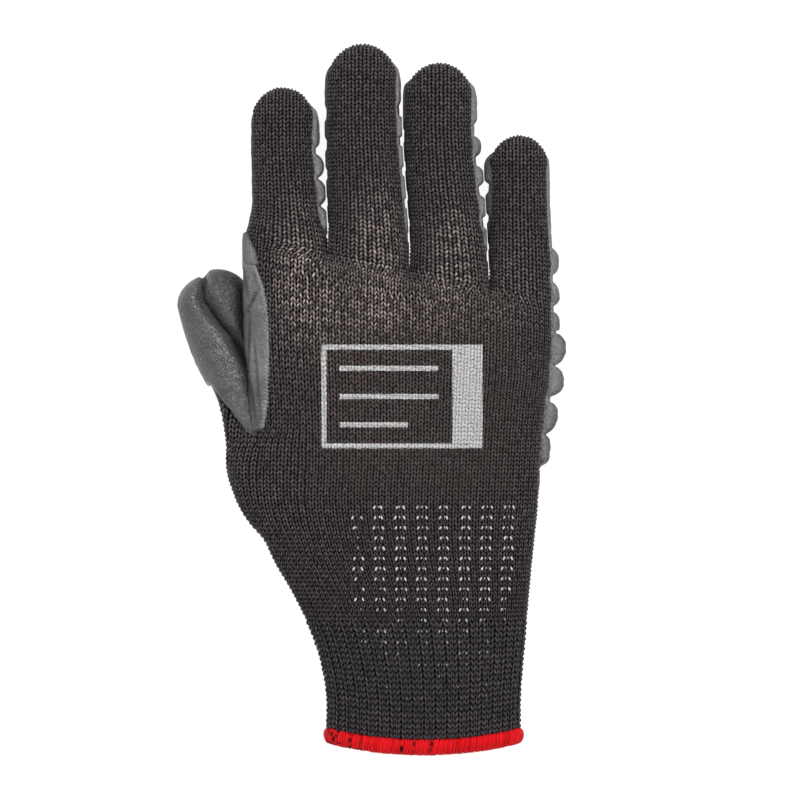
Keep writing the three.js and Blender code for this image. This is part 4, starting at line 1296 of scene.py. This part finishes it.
    def make_lining(self, material: bpy.types.Material) -> None:
        """Makes the inner loops, which close the cloth between the stitches and line the hollow."""
        turns = np.linspace(0, 2, 161)
        sections = {
            "lining_cuff": (np.linspace(0.0, self.cuff_length, 34), ("knit_cuff",)),
            "lining_heel": (np.linspace(self.cuff_length, 104.0, 40), ("knit_heel",)),
            "lining_knuckles": (np.linspace(104.0, 150.6, 40), ("knit_knuckles",)),
        }
        for name, (lengths, nodes) in sections.items():
            rows = HAND.rows_at(lengths)
            points = HAND.grown(rows, np.broadcast_to(turns, (len(rows), len(turns))), -0.55)
            self.line(name, points, nodes, material)
        for finger in FINGERS:
            web, shank = finger.web(), finger.shank()
            cap = shank + (finger.length - shank) * np.sin(np.radians([8, 20, 32, 44, 56, 68, 80, 90]))
            lengths = np.concatenate([np.linspace(-web, -0.1, 8), np.linspace(0, shank, 40), cap])
            grid = np.broadcast_to(np.linspace(0, 2, 61), (len(lengths), 61))
            inset = -0.65 + 0.4 * smooth((lengths - shank) / 3)[:, None] + 0 * grid
            points = finger.skin(lengths, grid, inset)
            self.line(f"lining_{finger.name}_finger", points, (f"knit_{finger.name}_finger",), material)

    def line(self, name: str, points: Array, nodes: tuple[str, ...], material: bpy.types.Material) -> None:
        """Makes one lining tube.

        Args:
            name: Name of the piece.
            points: Its points.
            nodes: CAD nodes that it stands for.
            material: Its material.
        """
        warm, _ = self.zones.at(points)
        points[:, -1] = points[:, 0]
        piece = cloth_from_grid(name, points, {"warm": warm}, True, 0.6)
        hand_in(piece, material, nodes)


@dataclass
class WristBacklightFlecks:
    """Bright flecks, painted light that shows through the gaps between the wrist's stitches."""

    knitter: Knitter
    left: float = 355.5
    right: float = 520.0
    column_pitch: float = 21.7
    row_pitch: float = 10.2
    top: float = 506.0
    rows: int = 20
    group: tuple[tuple[float, float, float, float], ...] = ((-3.9, 0.35, 1.0, 0.9), (0.0, 0.0, 0.0, 0.55), (3.9, -0.35, -1.0, 0.9))

    def make(self, material: bpy.types.Material) -> None:
        """Lays the flecks in groups of three."""
        chance = np.random.default_rng(21)
        bead = self.knitter.bead
        parts, shine = [], []
        column = np.arange(self.left, self.right, self.column_pitch)
        for r in range(self.rows):
            y_px = self.top + r * self.row_pitch
            fade = 1 - smooth((y_px - 560) / 150)
            for x_px in column:
                beside = smooth((x_px - 330) / 60)
                for dx, _, lean, size in self.group:
                    if chance.uniform() > fade * beside * 1.05:
                        continue
                    x, y = from_picture(x_px + dx + 0.03 * (y_px - 506) * (430 - x_px) / 60, y_px + abs(dx) * 0.15)
                    top, normal = self.on_back(x, y)
                    across, along = np.array([1.0, 0, 0]), np.array([0.0, 1, 0])
                    grow = size * chance.normal(1.0, 0.1) * (0.6 + 0.4 * fade)
                    axis = unit(along + across * 0.45 * lean)
                    aside = np.cross(normal, axis)
                    b = bead.points
                    local = aside * b[:, :1] * 0.4 + normal * b[:, 1:2] * 0.3 + axis * b[:, 2:] * 0.8
                    parts.append(top + normal * 0.36 + local * grow)
                    # Painted light through the gaps: brightest in the top rows, dimmer further down.
                    shine.append(chance.uniform(0.6, 1.0) * (0.1 + 0.9 * fade**1.5) * (1.0 if size > 0.8 else 0.7))
        points, glow = np.array(parts), np.array(shine)
        marks = {"tint": glow, "warm": glow * 0, "glint": glow, "painted_highlight": glow * 0 + 1}
        hand_in(copies_of(bead, "wrist_backlight_flecks", points, marks), material)

    @staticmethod
    def on_back(x: float, y: float) -> tuple[Array, Array]:
        """Point and normal of the back at a place of the working grid."""
        rows = HAND.rows_at(np.array([y - 0.8, y, y + 0.8]))
        turns = np.linspace(0.1, 0.95, 120)
        points = HAND.skin(rows, np.broadcast_to(turns, (3, 120)))
        k = int(np.clip(np.searchsorted(points[1, :, 0], x), 1, 118))
        normal = unit(np.cross(points[1, k + 1] - points[1, k - 1], points[2, k] - points[0, k]))
        return points[1, k], normal


# Rubber pieces


def edge_profile(distance: Array, reach: float) -> Array:
    """How full a coat is at some distance from its edge, rounded off at the rim."""
    return rounded(distance / reach)


@dataclass(frozen=True)
class Border:
    """A line down the picture: its x at some y, in pixels."""

    ys: tuple[float, ...]
    xs: tuple[float, ...]

    def x_at(self, y: Array) -> Array:
        """Working-grid x of the line at lengths of the working grid."""
        down = 400.5 - (np.asarray(y) - 114.3) / PIXEL
        return (np.interp(down, self.ys, self.xs) - 372.0) * PIXEL - 10.0


FLAP_BORDER = Border(
    (235, 255, 266, 284.5, 297, 315, 345, 393, 404, 416, 427, 438),
    (246, 253.5, 257.7, 264.7, 267.5, 269.6, 270.4, 269.6, 269, 267, 265, 256),
)
FLAP_LEFT = Border((250, 330, 370, 383, 397.5, 407, 417.6, 424.5, 440), (243, 243, 246, 249.4, 253.4, 255, 256.8, 259, 262))
FOLD_BORDER = Border(
    (270, 279, 284.5, 294.3, 303.4, 314, 323.8, 334.3, 343.4, 354, 375),
    (204, 203.3, 202, 203, 206.5, 213.5, 220.5, 229.6, 235.3, 243.5, 256),
)


@dataclass
class PalmCoat:
    """The ribbed palm with the flap that wraps onto the back beside the thumb."""

    rib_height: float = 3.6
    rib_length: float = 10.9
    ribs: tuple[tuple[float, float], ...] = ((5.5, 0.4), (6.13, 0.55), (6.83, 0.95), (7.82, 1.1), (8.61, 1.05))
    wrap: float = 2.2
    bare: float = -5.0  # how far under the hand the coat ends at the right, below the lowest wrapped rib
    tooth: tuple[float, float] = (1.4, 0.22)  # pitch and height of the flap's fuzzy edge
    under: float = 10.0  # how far under the hand the coat ends below the thumb
    start_row: float = 5.08
    end_row: float = 9.92
    seam_row: float = 9.03  # beyond it the coat runs on under the finger coats and closes the crotches
    rows: int = 240
    columns: int = 122
    flap_columns: int = 78

    def relief(self, rows: Array, share: Array) -> Array:
        """Height of the ribs.

        Args:
            rows: Rows, n of them.
            share: Share of the palm from the thumb side, n by m.

        Returns:
            Heights, n by m.
        """
        height = np.zeros(rows.shape)
        for row, tall in self.ribs:
            near = HAND.section(np.array([row - 0.5, row + 0.5]))["right_y"]
            d = np.abs(rows - row) * (near[1] - near[0]) / (self.rib_length / 2)
            height = np.maximum(height, tall * np.maximum(1 - np.clip(d, 0, 1) ** 2.6, 0) ** 0.7)
        aside = np.clip((0.5 - share) * 2, 0, 1)
        return height[:, None] * self.rib_height * (1 - aside**3)

    def flap_reach(self, rows: Array) -> Array:
        """How far the coat reaches onto the back beside the thumb.

        Args:
            rows: Rows of the coat.

        Returns:
            Millimetres along the skin from the hand's left edge.
        """
        xs, zs, _ = HAND.halves(rows)
        run = HAND.shares(xs[0], zs[0], whole=False)
        y = HAND.section(rows)["left_y"]
        target = FLAP_BORDER.x_at(y)
        reach = np.array([np.interp(target[i], xs[0][i], run[i]) for i in range(len(rows))])
        low = smooth((y - from_picture(0, 441)[1]) / 4.5)
        pitch, height = self.tooth
        teeth = height * np.sin(2 * math.pi * y / pitch) + height * np.sin(4.7 * y)
        return lerp(-self.under, reach + teeth, low)

    def creases(self, points: Array, on_flap: Array) -> Array:
        """Soft lengthwise creases of the flap."""
        x = (points[..., 0] + 10.0) / PIXEL + 372.0
        y = 400.5 - (points[..., 1] - 114.3) / PIXEL
        out = np.zeros(x.shape)
        for x0, y0, x1, y1, deep, wide in (
            (262.5, 287, 250.5, 315, 0.9, 1.3),
            (249, 270, 252.5, 300, 0.7, 1.6),
            (254, 312, 253, 372, 1.0, 1.4),
            (253, 372, 261, 424, 0.9, 1.4),
            (258, 340, 264, 420, 0.8, 1.5),
            (247, 330, 249, 378, 0.4, 1.5),
            (256.5, 269, 259.5, 287, 0.5, 1.3),
        ):
            dx, dy = x1 - x0, y1 - y0
            t = np.clip(((x - x0) * dx + (y - y0) * dy) / (dx * dx + dy * dy), 0, 1)
            d = np.hypot(x - x0 - t * dx, y - y0 - t * dy)
            out -= deep * np.exp(-((d / wide) ** 2)) * np.sin(math.pi * np.clip(t, 0.06, 0.94)) ** 0.5
        return out * on_flap

    def make(self, material: bpy.types.Material) -> None:
        """Moulds the coat."""
        rows = np.linspace(self.start_row, self.end_row, self.rows)
        girth = HAND.half_girth(rows)
        start = 1 - lerp(self.bare, self.wrap, smooth((rows - 5.72) / 0.3)) / girth
        end = 2 + self.flap_reach(rows) / girth
        s = np.concatenate([np.linspace(0, 0.85, self.columns, endpoint=False), np.linspace(0.85, 1, self.flap_columns)])
        turns = lerp(start[:, None], end[:, None], s[None, :])
        share = 2 - turns
        left, right = (end[:, None] - turns) * girth[:, None], (turns - start[:, None]) * girth[:, None]
        section = HAND.section(rows)
        up = (section["right_y"] - section["right_y"][0])[:, None]
        rim = np.minimum(np.minimum(left, right), up)
        plain = HAND.skin(rows, turns)
        wave = 0.14 * np.sin(turns * 57 + rows[:, None] * 9) * np.sin(rows[:, None] * 23 + turns * 31)
        on_flap = smooth((turns - 1.97) * girth[:, None] / 3)
        crease = self.creases(plain, on_flap)
        full = SEAT_GAP + RUBBER_WALL + self.relief(rows, share) + wave * (1 - on_flap) + crease
        full = full + on_flap * 0.5 * smooth(left / 4)
        full = lerp(full, 0.6, smooth((rows - self.seam_row) / 0.06)[:, None])
        grow = lerp(0.1, full, edge_profile(rim, 1.7))
        points = HAND.grown(rows, turns, grow)
        points[..., 2] = np.maximum(points[..., 2], 0.0)
        beside = plain[..., 0] - FLAP_LEFT.x_at(plain[..., 1])
        # Painted shade: darker off the flap, along the flap's left edge and in the flap's creases.
        shade = 0.5 * (1 - on_flap) + 0.55 * on_flap * smooth((4.5 - beside) / 4.5)
        marks = {"rim": np.exp(-((rim / 0.5) ** 2)) * 0.75, "painted_shade_and_specks": np.clip(shade - 0.8 * crease, 0, 0.8)}
        piece = cloth_from_grid("palm_coat", points, marks, False, 1.0)
        hand_in(piece, material, ("rubber_palm",))


@dataclass
class FingerCoat:
    """The ribbed coat under one finger with the smooth pad at its tip."""

    finger: FingerForm
    wrap: float = 3.0
    coat_end: float = 3.4
    taper: float = 9.0
    drawback: float = 0.25
    shares: tuple[float, ...] = (0.72, 0.58, 0.55)  # of each gap between fingers, for the finger at its left
    edge_wall: float = 0.12  # share of the wall's thickness that is left at the finger's sides
    coat_edge: float = 0.6
    step: float = 0.42
    columns: int = 56

    def divider(self, line: int, y: Array) -> Array:
        """The line between a finger's coat and the next one's at some lengths of the working grid."""
        edges = []
        for k, side in ((line, 1), (line + 1, -1)):
            base = FINGERS[k].frame(np.zeros(1))["y"][0]
            f = FINGERS[k].frame(y - base)
            edges.append(f["x"] + side * f["half_width"])
        return lerp(edges[0], edges[1], self.shares[line])

    def reach(self, lengths: Array, side: Side) -> Array:
        """How far the coat reaches round one side past its widest place.

        Args:
            lengths: Lengths from the finger line.
            side: The side.

        Returns:
            Shares of the half girth.
        """
        finger = self.finger
        f = finger.frame(np.maximum(lengths, 0))
        girth = np.maximum(math.pi * np.hypot(f["half_width"], f["half_depth"]) / math.sqrt(2), 1e-3)
        full = finger.wraps[0 if side is Side.LEFT else 1] * self.wrap / girth
        taper = smooth((lengths - finger.length + self.coat_end + self.taper) / self.taper)
        line = finger.index - 1 if side is Side.LEFT else finger.index
        if line < 0:
            target = FLAP_BORDER.x_at(f["y"] + np.minimum(lengths, 0))
            flap = np.arccos(np.clip((f["x"] - target) / f["half_width"], -1, 1)) / math.pi
            return lerp(lerp(flap, full, smooth((lengths - 0.5) / 3)), -self.drawback, taper)
        if line == len(FINGERS) - 1:
            return lerp(full, -self.drawback, taper)
        room = np.abs(self.divider(line, f["y"]) - f["x"]) - 1.5 * SEAT_GAP - self.coat_edge
        free = room / np.maximum(f["half_width"], 1e-3)
        tight = -np.arccos(np.clip(free, 0, 1)) / math.pi
        most = np.where(free < 1, tight, full * smooth((free - 1) / 0.06))
        return lerp(np.minimum(most, full), -self.drawback, taper)

    def relief(self, lengths: Array, turns: Array) -> Array:
        """Height of the ribs and of the tip's pad.

        Args:
            lengths: Lengths from the finger line, n of them.
            turns: Turns round the finger, n by m, from its right side (1) to its left side (2).

        Returns:
            Heights from 0 to 1, n by m.
        """
        finger = self.finger
        across = np.clip(turns - 1, 0, 1)
        at = lengths[:, None] + finger.slant * across
        pad = smooth((at - finger.length + finger.pad) / 2.0) ** 0.6
        tip = 1 - 0.75 * smooth((lengths - finger.shank() + 3) / (finger.length - self.coat_end - finger.shank() + 3))
        ribs = np.zeros(at.shape)
        for k in range(finger.ribs):
            middle = finger.length - finger.first - finger.pitch * k
            d = np.clip(np.abs(at - middle) / (finger.rib / 2), 0, 1)
            ribs = np.maximum(ribs, (1 - d**2.4) ** 0.7)
        proud = SIDE_RELIEF[finger.index]
        bare = smooth((finger.bare_right - lengths) / 4)[:, None]
        near = smooth((np.abs(2 * across - 1) - 0.3) / 0.5)
        left = turns > 1.5
        rib_side = np.where(left, proud[0], proud[1] * bare)
        pad_side = np.where(left, proud[2], proud[3])
        return np.maximum(ribs * lerp(1, rib_side, near), pad * tip[:, None] * lerp(1, pad_side, near))

    def make(self, material: bpy.types.Material) -> None:
        """Moulds the coat."""
        finger = self.finger
        end = finger.length - self.coat_end
        lengths = np.arange(-0.99 * finger.web(), end, self.step)
        lengths = np.append(lengths, end)
        left, right = self.reach(lengths, Side.LEFT), self.reach(lengths, Side.RIGHT)
        s = np.linspace(0, 1, self.columns)
        turns = lerp((1 - right)[:, None], (2 + left)[:, None], s[None, :])
        f = finger.frame(np.maximum(lengths, 0))
        girth = (math.pi * np.hypot(f["half_width"], f["half_depth"]) / math.sqrt(2))[:, None]
        aside = np.abs(2 * np.clip(2 - turns, 0, 1) - 1)
        rim = np.minimum(turns - turns[:, :1], turns[:, -1:] - turns) * girth
        rim = np.minimum(rim, (end - lengths)[:, None])
        full = SEAT_GAP + RUBBER_WALL * lerp(1.0, self.edge_wall, aside**4)
        full = full + self.relief(lengths, turns) * COAT_RIB
        flap = np.zeros(turns.shape)
        if finger.index == 0:
            flap = smooth((turns - 1.97) * girth / 3) * (1 - smooth((lengths - 1) / 5))[:, None]
            full = lerp(full, SEAT_GAP + RUBBER_WALL + 0.5 * smooth(rim / 4), flap)
        wave = 0.1 * np.sin(lengths[:, None] * 0.9 + turns * 17) * np.sin(turns * 29 + lengths[:, None] * 0.4)
        grow = lerp(0.0, full + wave * (1 - flap), edge_profile(rim, lerp(1.3, 1.7, flap)))
        points = finger.skin(lengths, turns, grow)
        for line, pull in ((finger.index - 1, 1), (finger.index, -1)):
            if 0 <= line < len(FINGERS) - 1:
                wall = self.divider(line, points[..., 1].ravel()).reshape(points.shape[:2]) + pull * SEAT_GAP / 2
                points[..., 0] = np.maximum(points[..., 0], wall) if pull > 0 else np.minimum(points[..., 0], wall)
        points[..., 2] = np.maximum(points[..., 2], 0.0)
        beside = points[..., 0] - FLAP_LEFT.x_at(points[..., 1])
        # Painted shade: darker all over, more on the left side, and on the index finger's flap along its left edge.
        shade = lerp(0.5 + smooth((turns - 1.72) / 0.2) * 0.4, 0.55 * smooth((4.5 - beside) / 4.5), flap)
        marks = {"rim": np.exp(-((rim / 0.4) ** 2)) * 0.8 * (turns < 1.5), "painted_shade_and_specks": shade}
        piece = cloth_from_grid(f"{finger.name}_finger_coat", points, marks, False, 0.9)
        hand_in(piece, material, (f"rubber_{finger.name}_finger",))


@dataclass
class ThumbSleeve:
    """The rubber sleeve of the folded thumb, creased like soft leather."""

    rows: int = 190
    columns: int = 240

    def start(self, turns: Array) -> Array:
        """Place along the thumb at which each turn crosses the sleeve's slanting edge."""
        place = np.linspace(0.05, 0.95, 400)
        grid = THUMB.skin(np.repeat(place[:, None], len(turns), 1), np.broadcast_to(turns, (400, len(turns))))
        beyond = THUMB.edge_distance(grid, turns[None, :] > 1) > 0
        first = np.interp(len(place) - np.argmin(beyond[::-1], axis=0), np.arange(len(place)), place)
        kernel = np.ones(5) / 5
        return np.convolve(np.concatenate([first[-3:-1], first, first[1:3]]), kernel, mode="valid")

    def wrinkles(self, place: Array, turns: Array) -> Array:
        """Soft wrinkles across and along the sleeve."""
        w = np.mod(turns, 2.0)
        out = 0.1 * np.sin(place * 60 + 4 * np.sin(w * 5) + 2 * np.sin(place * 17)) * smooth((0.86 - place) / 0.2)
        out += 0.08 * np.sin(w * 19 + 6 * place) * np.sin(place * 31 + w * 7)
        out += 0.05 * np.sin(place * 120 + w * 11) * smooth((0.9 - place) / 0.3)
        return out

    def off_the_hand(self, points: Array) -> Array:
        """Keeps points out of the hand's left wall."""
        row = HAND.rows_at(points[..., 1].ravel())
        s = HAND.section(row)
        size = {name: value.reshape(points.shape[:2]) for name, value in s.items()}
        dz = np.clip(np.abs(points[..., 2] - size["mid_z"]) / size["half_depth"], 0, 1)
        wall = size["mid_x"] - size["half_width"] * (1 - dz ** size["power"]) ** (1 / size["power"]) - 0.5
        inside = (dz < 1) & (points[..., 1] > 60)
        points[..., 0] = np.where(inside, np.minimum(points[..., 0], wall), points[..., 0])
        return points

    def make(self, material: bpy.types.Material) -> None:
        """Moulds the sleeve."""
        s = np.linspace(0, 2, self.columns)
        first = self.start(s)
        v = np.linspace(0, 1, self.rows)
        fine = np.sin(np.radians(90 * v)) * 0.35 + v * 0.65
        place = lerp(first[None, :], THUMB.tip[0], fine[:, None])
        turns = np.broadcast_to(s, place.shape)
        rim = (place - first[None, :]) * THUMB.length
        fade = 1 - smooth((place - 0.97) / 0.05)
        grow = lerp(-0.9, 0.15 + self.wrinkles(place, turns) * fade, edge_profile(rim, 4.5))
        points = self.off_the_hand(THUMB.skin(place, turns, grow))
        points[:, -1] = points[:, 0]
        points[-1, :] = points[-1].mean(axis=0)
        points[..., 2] = np.maximum(points[..., 2], 0.05)
        off = points[..., 0] - FOLD_BORDER.x_at(points[..., 1])
        beside = FLAP_LEFT.x_at(points[..., 1]) - points[..., 0]
        # Painted shade: the right lobe, the fold's groove, the strip beside the flap where its shadow falls and the
        # left edge are darkened.
        lobe = smooth((off - 1.0) / 8) * smooth((place - 0.62) / 0.1) * 0.85
        groove = np.exp(-((off / 0.5) ** 2)) * smooth((place - 0.62) / 0.1) * 0.95
        shadow = smooth((6.0 - beside) / 5) * 0.8
        edge = smooth((0.2 - turns) / 0.2) * 0.4
        painted_shade_and_specks = np.maximum(np.maximum(lobe, groove), np.maximum(shadow, edge)) * (turns < 1.1)
        marks = {"rim": np.exp(-((rim / 0.3) ** 2)) * 0.9, "painted_shade_and_specks": painted_shade_and_specks}
        piece = cloth_from_grid("thumb_sleeve", points, marks, True, RUBBER_WALL * 0.8)
        hand_in(piece, material, ("rubber_thumb",))


# Hem


@dataclass
class OverlockHem:
    """Red yarn wrapped over the cuff's edge."""

    height: float = 5.4
    thickness: float = 3.8
    wraps: int = 150
    turns_round: int = 20
    yarn: float = 0.52
    slant: float = 0.9
    specks: tuple[tuple[float, float], ...] = (
        (331, 3), (338, 1.5), (350, 3), (361, 1.5), (386, 1.2), (402, 2), (413, 1.2), (432, 1.2), (456, 2), (462, 1.2)
    )

    def middle(self, turns: Array) -> tuple[Array, Array, Array]:
        """Middle line of the hem.

        Args:
            turns: Turns round the cuff.

        Returns:
            Points, outward directions and directions along the edge.
        """
        row = np.array([0.0])
        point = HAND.grown(row, turns[None, :], -KNIT_WALL / 2)[0]
        ahead, behind = (HAND.grown(row, (turns + step)[None, :], -KNIT_WALL / 2)[0] for step in (0.004, -0.004))
        along = unit(ahead - behind)
        out = unit(HAND.grown(row, turns[None, :], 1.0)[0] - point)
        return point - np.array([0, self.height / 2 + SEAT_GAP, 0]), out, along

    def make(self, material: bpy.types.Material) -> None:
        """Makes the bead and its wraps."""
        up = np.array([0.0, 1.0, 0.0])
        turns = np.linspace(0, 2, 201)
        middle, out, _ = self.middle(turns)
        angle = np.linspace(0, 2 * math.pi, 25)
        ring = middle[None] + out[None] * (np.cos(angle) * (self.thickness / 2 - 0.55))[:, None, None]
        ring = ring - up * (np.sin(angle) * (self.height / 2 - 0.5))[:, None, None]
        ring[-1], ring[:, -1] = ring[0], ring[:, 0]
        zero = np.zeros(ring.shape[:2])
        marks = {"tint": zero + 0.2, "warm": zero + 0.15, "glint": zero, "painted_highlight": zero + 1}
        core = cloth_from_grid("hem_core", ring, marks, True, 0.0)
        hand_in(core, material, ("cuff_hem",))

        chance = np.random.default_rng(5)
        count = self.turns_round
        at = (np.arange(self.wraps) + chance.normal(0, 0.07, self.wraps)) / self.wraps * 2
        phase = np.linspace(0, 2 * math.pi, count, endpoint=False)
        grid = at[:, None] + 0.0 * phase[None, :]
        middle, out, along = (v.reshape(self.wraps, count, 3) for v in self.middle(grid.ravel()))
        squash = 1 + 0.04 * chance.normal(0, 1, (self.wraps, 1))
        radial = np.cos(phase)[None, :] * squash
        lift = np.sin(phase)[None, :]
        path = middle + out * (radial * (self.thickness / 2 - 0.35))[..., None]
        path = path + up * (lift * (self.height / 2 - 0.3))[..., None] + along * (lift * self.slant / 2)[..., None]
        outward = unit(out * np.cos(phase)[None, :, None] + up * (np.sin(phase)[None, :] * 0.7)[..., None])
        tangent = unit(np.roll(path, -1, 1) - np.roll(path, 1, 1))
        aside = unit(np.cross(tangent, outward))
        sides = np.linspace(0, 2 * math.pi, 6, endpoint=False)
        size = self.yarn * (1 + 0.08 * chance.normal(0, 1, (self.wraps, 1, 1, 1)))
        swell = 1 + 0.12 * np.sin(phase * 3)[None, :, None, None]
        points = path[:, :, None] + size * swell * (
            aside[:, :, None] * (1.15 * np.cos(sides))[None, None, :, None] + outward[:, :, None] * np.sin(sides)[None, None, :, None]
        )
        loops = []
        for i in range(count):
            for j in range(6):
                a, b = i * 6 + j, i * 6 + (j + 1) % 6
                c, d = ((i + 1) % count) * 6 + (j + 1) % 6, ((i + 1) % count) * 6 + j
                loops += [a, b, c, d]
        uvs = [(0.0, 0.0), (0.3, 0.0), (0.3, 0.6), (0.0, 0.6)] * (count * 6)
        loop = Bead(np.zeros((count * 6, 3)), np.array(loops), np.full(count * 6, 4), np.array(uvs))
        tint = np.clip(chance.normal(0.6, 0.2, self.wraps), 0, 1)
        x = (path[..., 0] + 10.0) / PIXEL + 372.0
        band = chance.uniform(0, 1, (self.wraps, count))
        painted_shade_and_specks = np.zeros(x.shape, bool)
        for cluster, wide in self.specks:
            painted_shade_and_specks |= (np.abs(x - cluster) < wide) & (band > 0.5)
        painted_shade_and_specks |= (path[..., 2] < HAND.middle * 0.6) & (band > 0.985)
        painted_shade_and_specks = np.repeat(painted_shade_and_specks, 6, axis=1).reshape(self.wraps, count * 6)
        marks = {"tint": tint, "warm": painted_shade_and_specks * 1.0, "glint": tint * 0, "painted_highlight": tint * 0 + 1}
        wraps = copies_of(loop, "hem_wraps", points.reshape(self.wraps, -1, 3), marks)
        hand_in(wraps, material)


# Studio


@dataclass
class Studio:
    """Floor, soft light and the camera straight above."""

    floor_size: float = 6.0
    distance: float = 2.2
    subject_height: float = 0.018
    frame_width: float = 0.28
    sensor: float = 36.0

    def make_floor(self) -> None:
        """Lays a flat pale floor."""
        clear_selection()
        bpy.ops.mesh.primitive_grid_add(x_subdivisions=4, y_subdivisions=4, size=self.floor_size, location=(0, 0, 0))
        floor = bpy.context.object
        floor.name = "floor"
        recipe = Recipe("pale_floor")
        grey = recipe.mix(recipe.noise(3.0, 2.0), (0.24, 0.24, 0.24, 1), (0.26, 0.26, 0.26, 1))
        glow = {"Emission_Color": (1.0, 1.0, 1.0, 1.0), "Emission_Strength": 0.92}
        floor.data.materials.append(recipe.finish(Base_Color=grey, Roughness=0.9, Specular_IOR_Level=0.1, **glow))

    def make_light(self) -> None:
        """Hangs two large soft boxes and a white surround."""
        for name, spot, size, power in (
            ("key", (0.7, 0.7, 1.7), 0.8, 27.0),
            ("fill", (-1.1, 0.5, 1.4), 1.0, 8.0),
        ):
            light = bpy.data.lights.new(name, "AREA")
            light.size = size
            light.energy = power
            lamp = bpy.data.objects.new(name, light)
            bpy.context.scene.collection.objects.link(lamp)
            lamp.location = spot
            aim = -np.array(spot)
            lamp.rotation_euler = (
                math.atan2(math.hypot(aim[0], aim[1]), -aim[2]),
                0.0,
                math.atan2(aim[1], aim[0]) - math.pi / 2,
            )
        world = bpy.data.worlds.new("surround")
        world.use_nodes = True
        back = world.node_tree.nodes["Background"]
        back.inputs["Color"].default_value = (1, 1, 1, 1)
        back.inputs["Strength"].default_value = 0.5
        bpy.context.scene.world = world

    def make_camera(self) -> None:
        """Sets the camera at the picture's angle."""
        camera = bpy.data.cameras.new("camera")
        camera.sensor_width = self.sensor
        camera.lens = self.sensor * (self.distance - self.subject_height) / self.frame_width
        camera.clip_end = 50
        stand = bpy.data.objects.new("camera", camera)
        bpy.context.scene.collection.objects.link(stand)
        stand.location = (PICTURE_MIDDLE[0] * MM, PICTURE_MIDDLE[1] * MM, self.distance)
        bpy.context.scene.camera = stand
        bpy.context.scene.view_settings.view_transform = "Standard"


def main() -> None:
    """Builds the glove's dress, the studio and the camera."""
    logging.basicConfig(level=logging.INFO, format="%(name)s: %(message)s")
    studio = Studio()
    studio.make_camera()
    studio.make_light()
    studio.make_floor()
    black, cuff = BLACK_YARN.material(), CUFF_YARN.material()
    knitter = Knitter()
    liner = Liner(knitter)
    loops = LiningFinish().material()
    liner.make_lining(loops)
    liner.make_cuff(cuff)
    liner.make_hand(black)
    liner.make_stub(black, loops)
    for finger in FINGERS:
        liner.make_finger(finger, black)
    WristBacklightFlecks(knitter).make(BACKLIGHT_FLECK_YARN.material())
    palm, sleeve = PALM_RUBBER.material(), SLEEVE_RUBBER.material()
    PalmCoat().make(palm)
    for finger in FINGERS:
        FingerCoat(finger).make(palm)
    ThumbSleeve().make(sleeve)
    OverlockHem().make(RED_YARN.material())


if __name__ == "__main__":
    main()
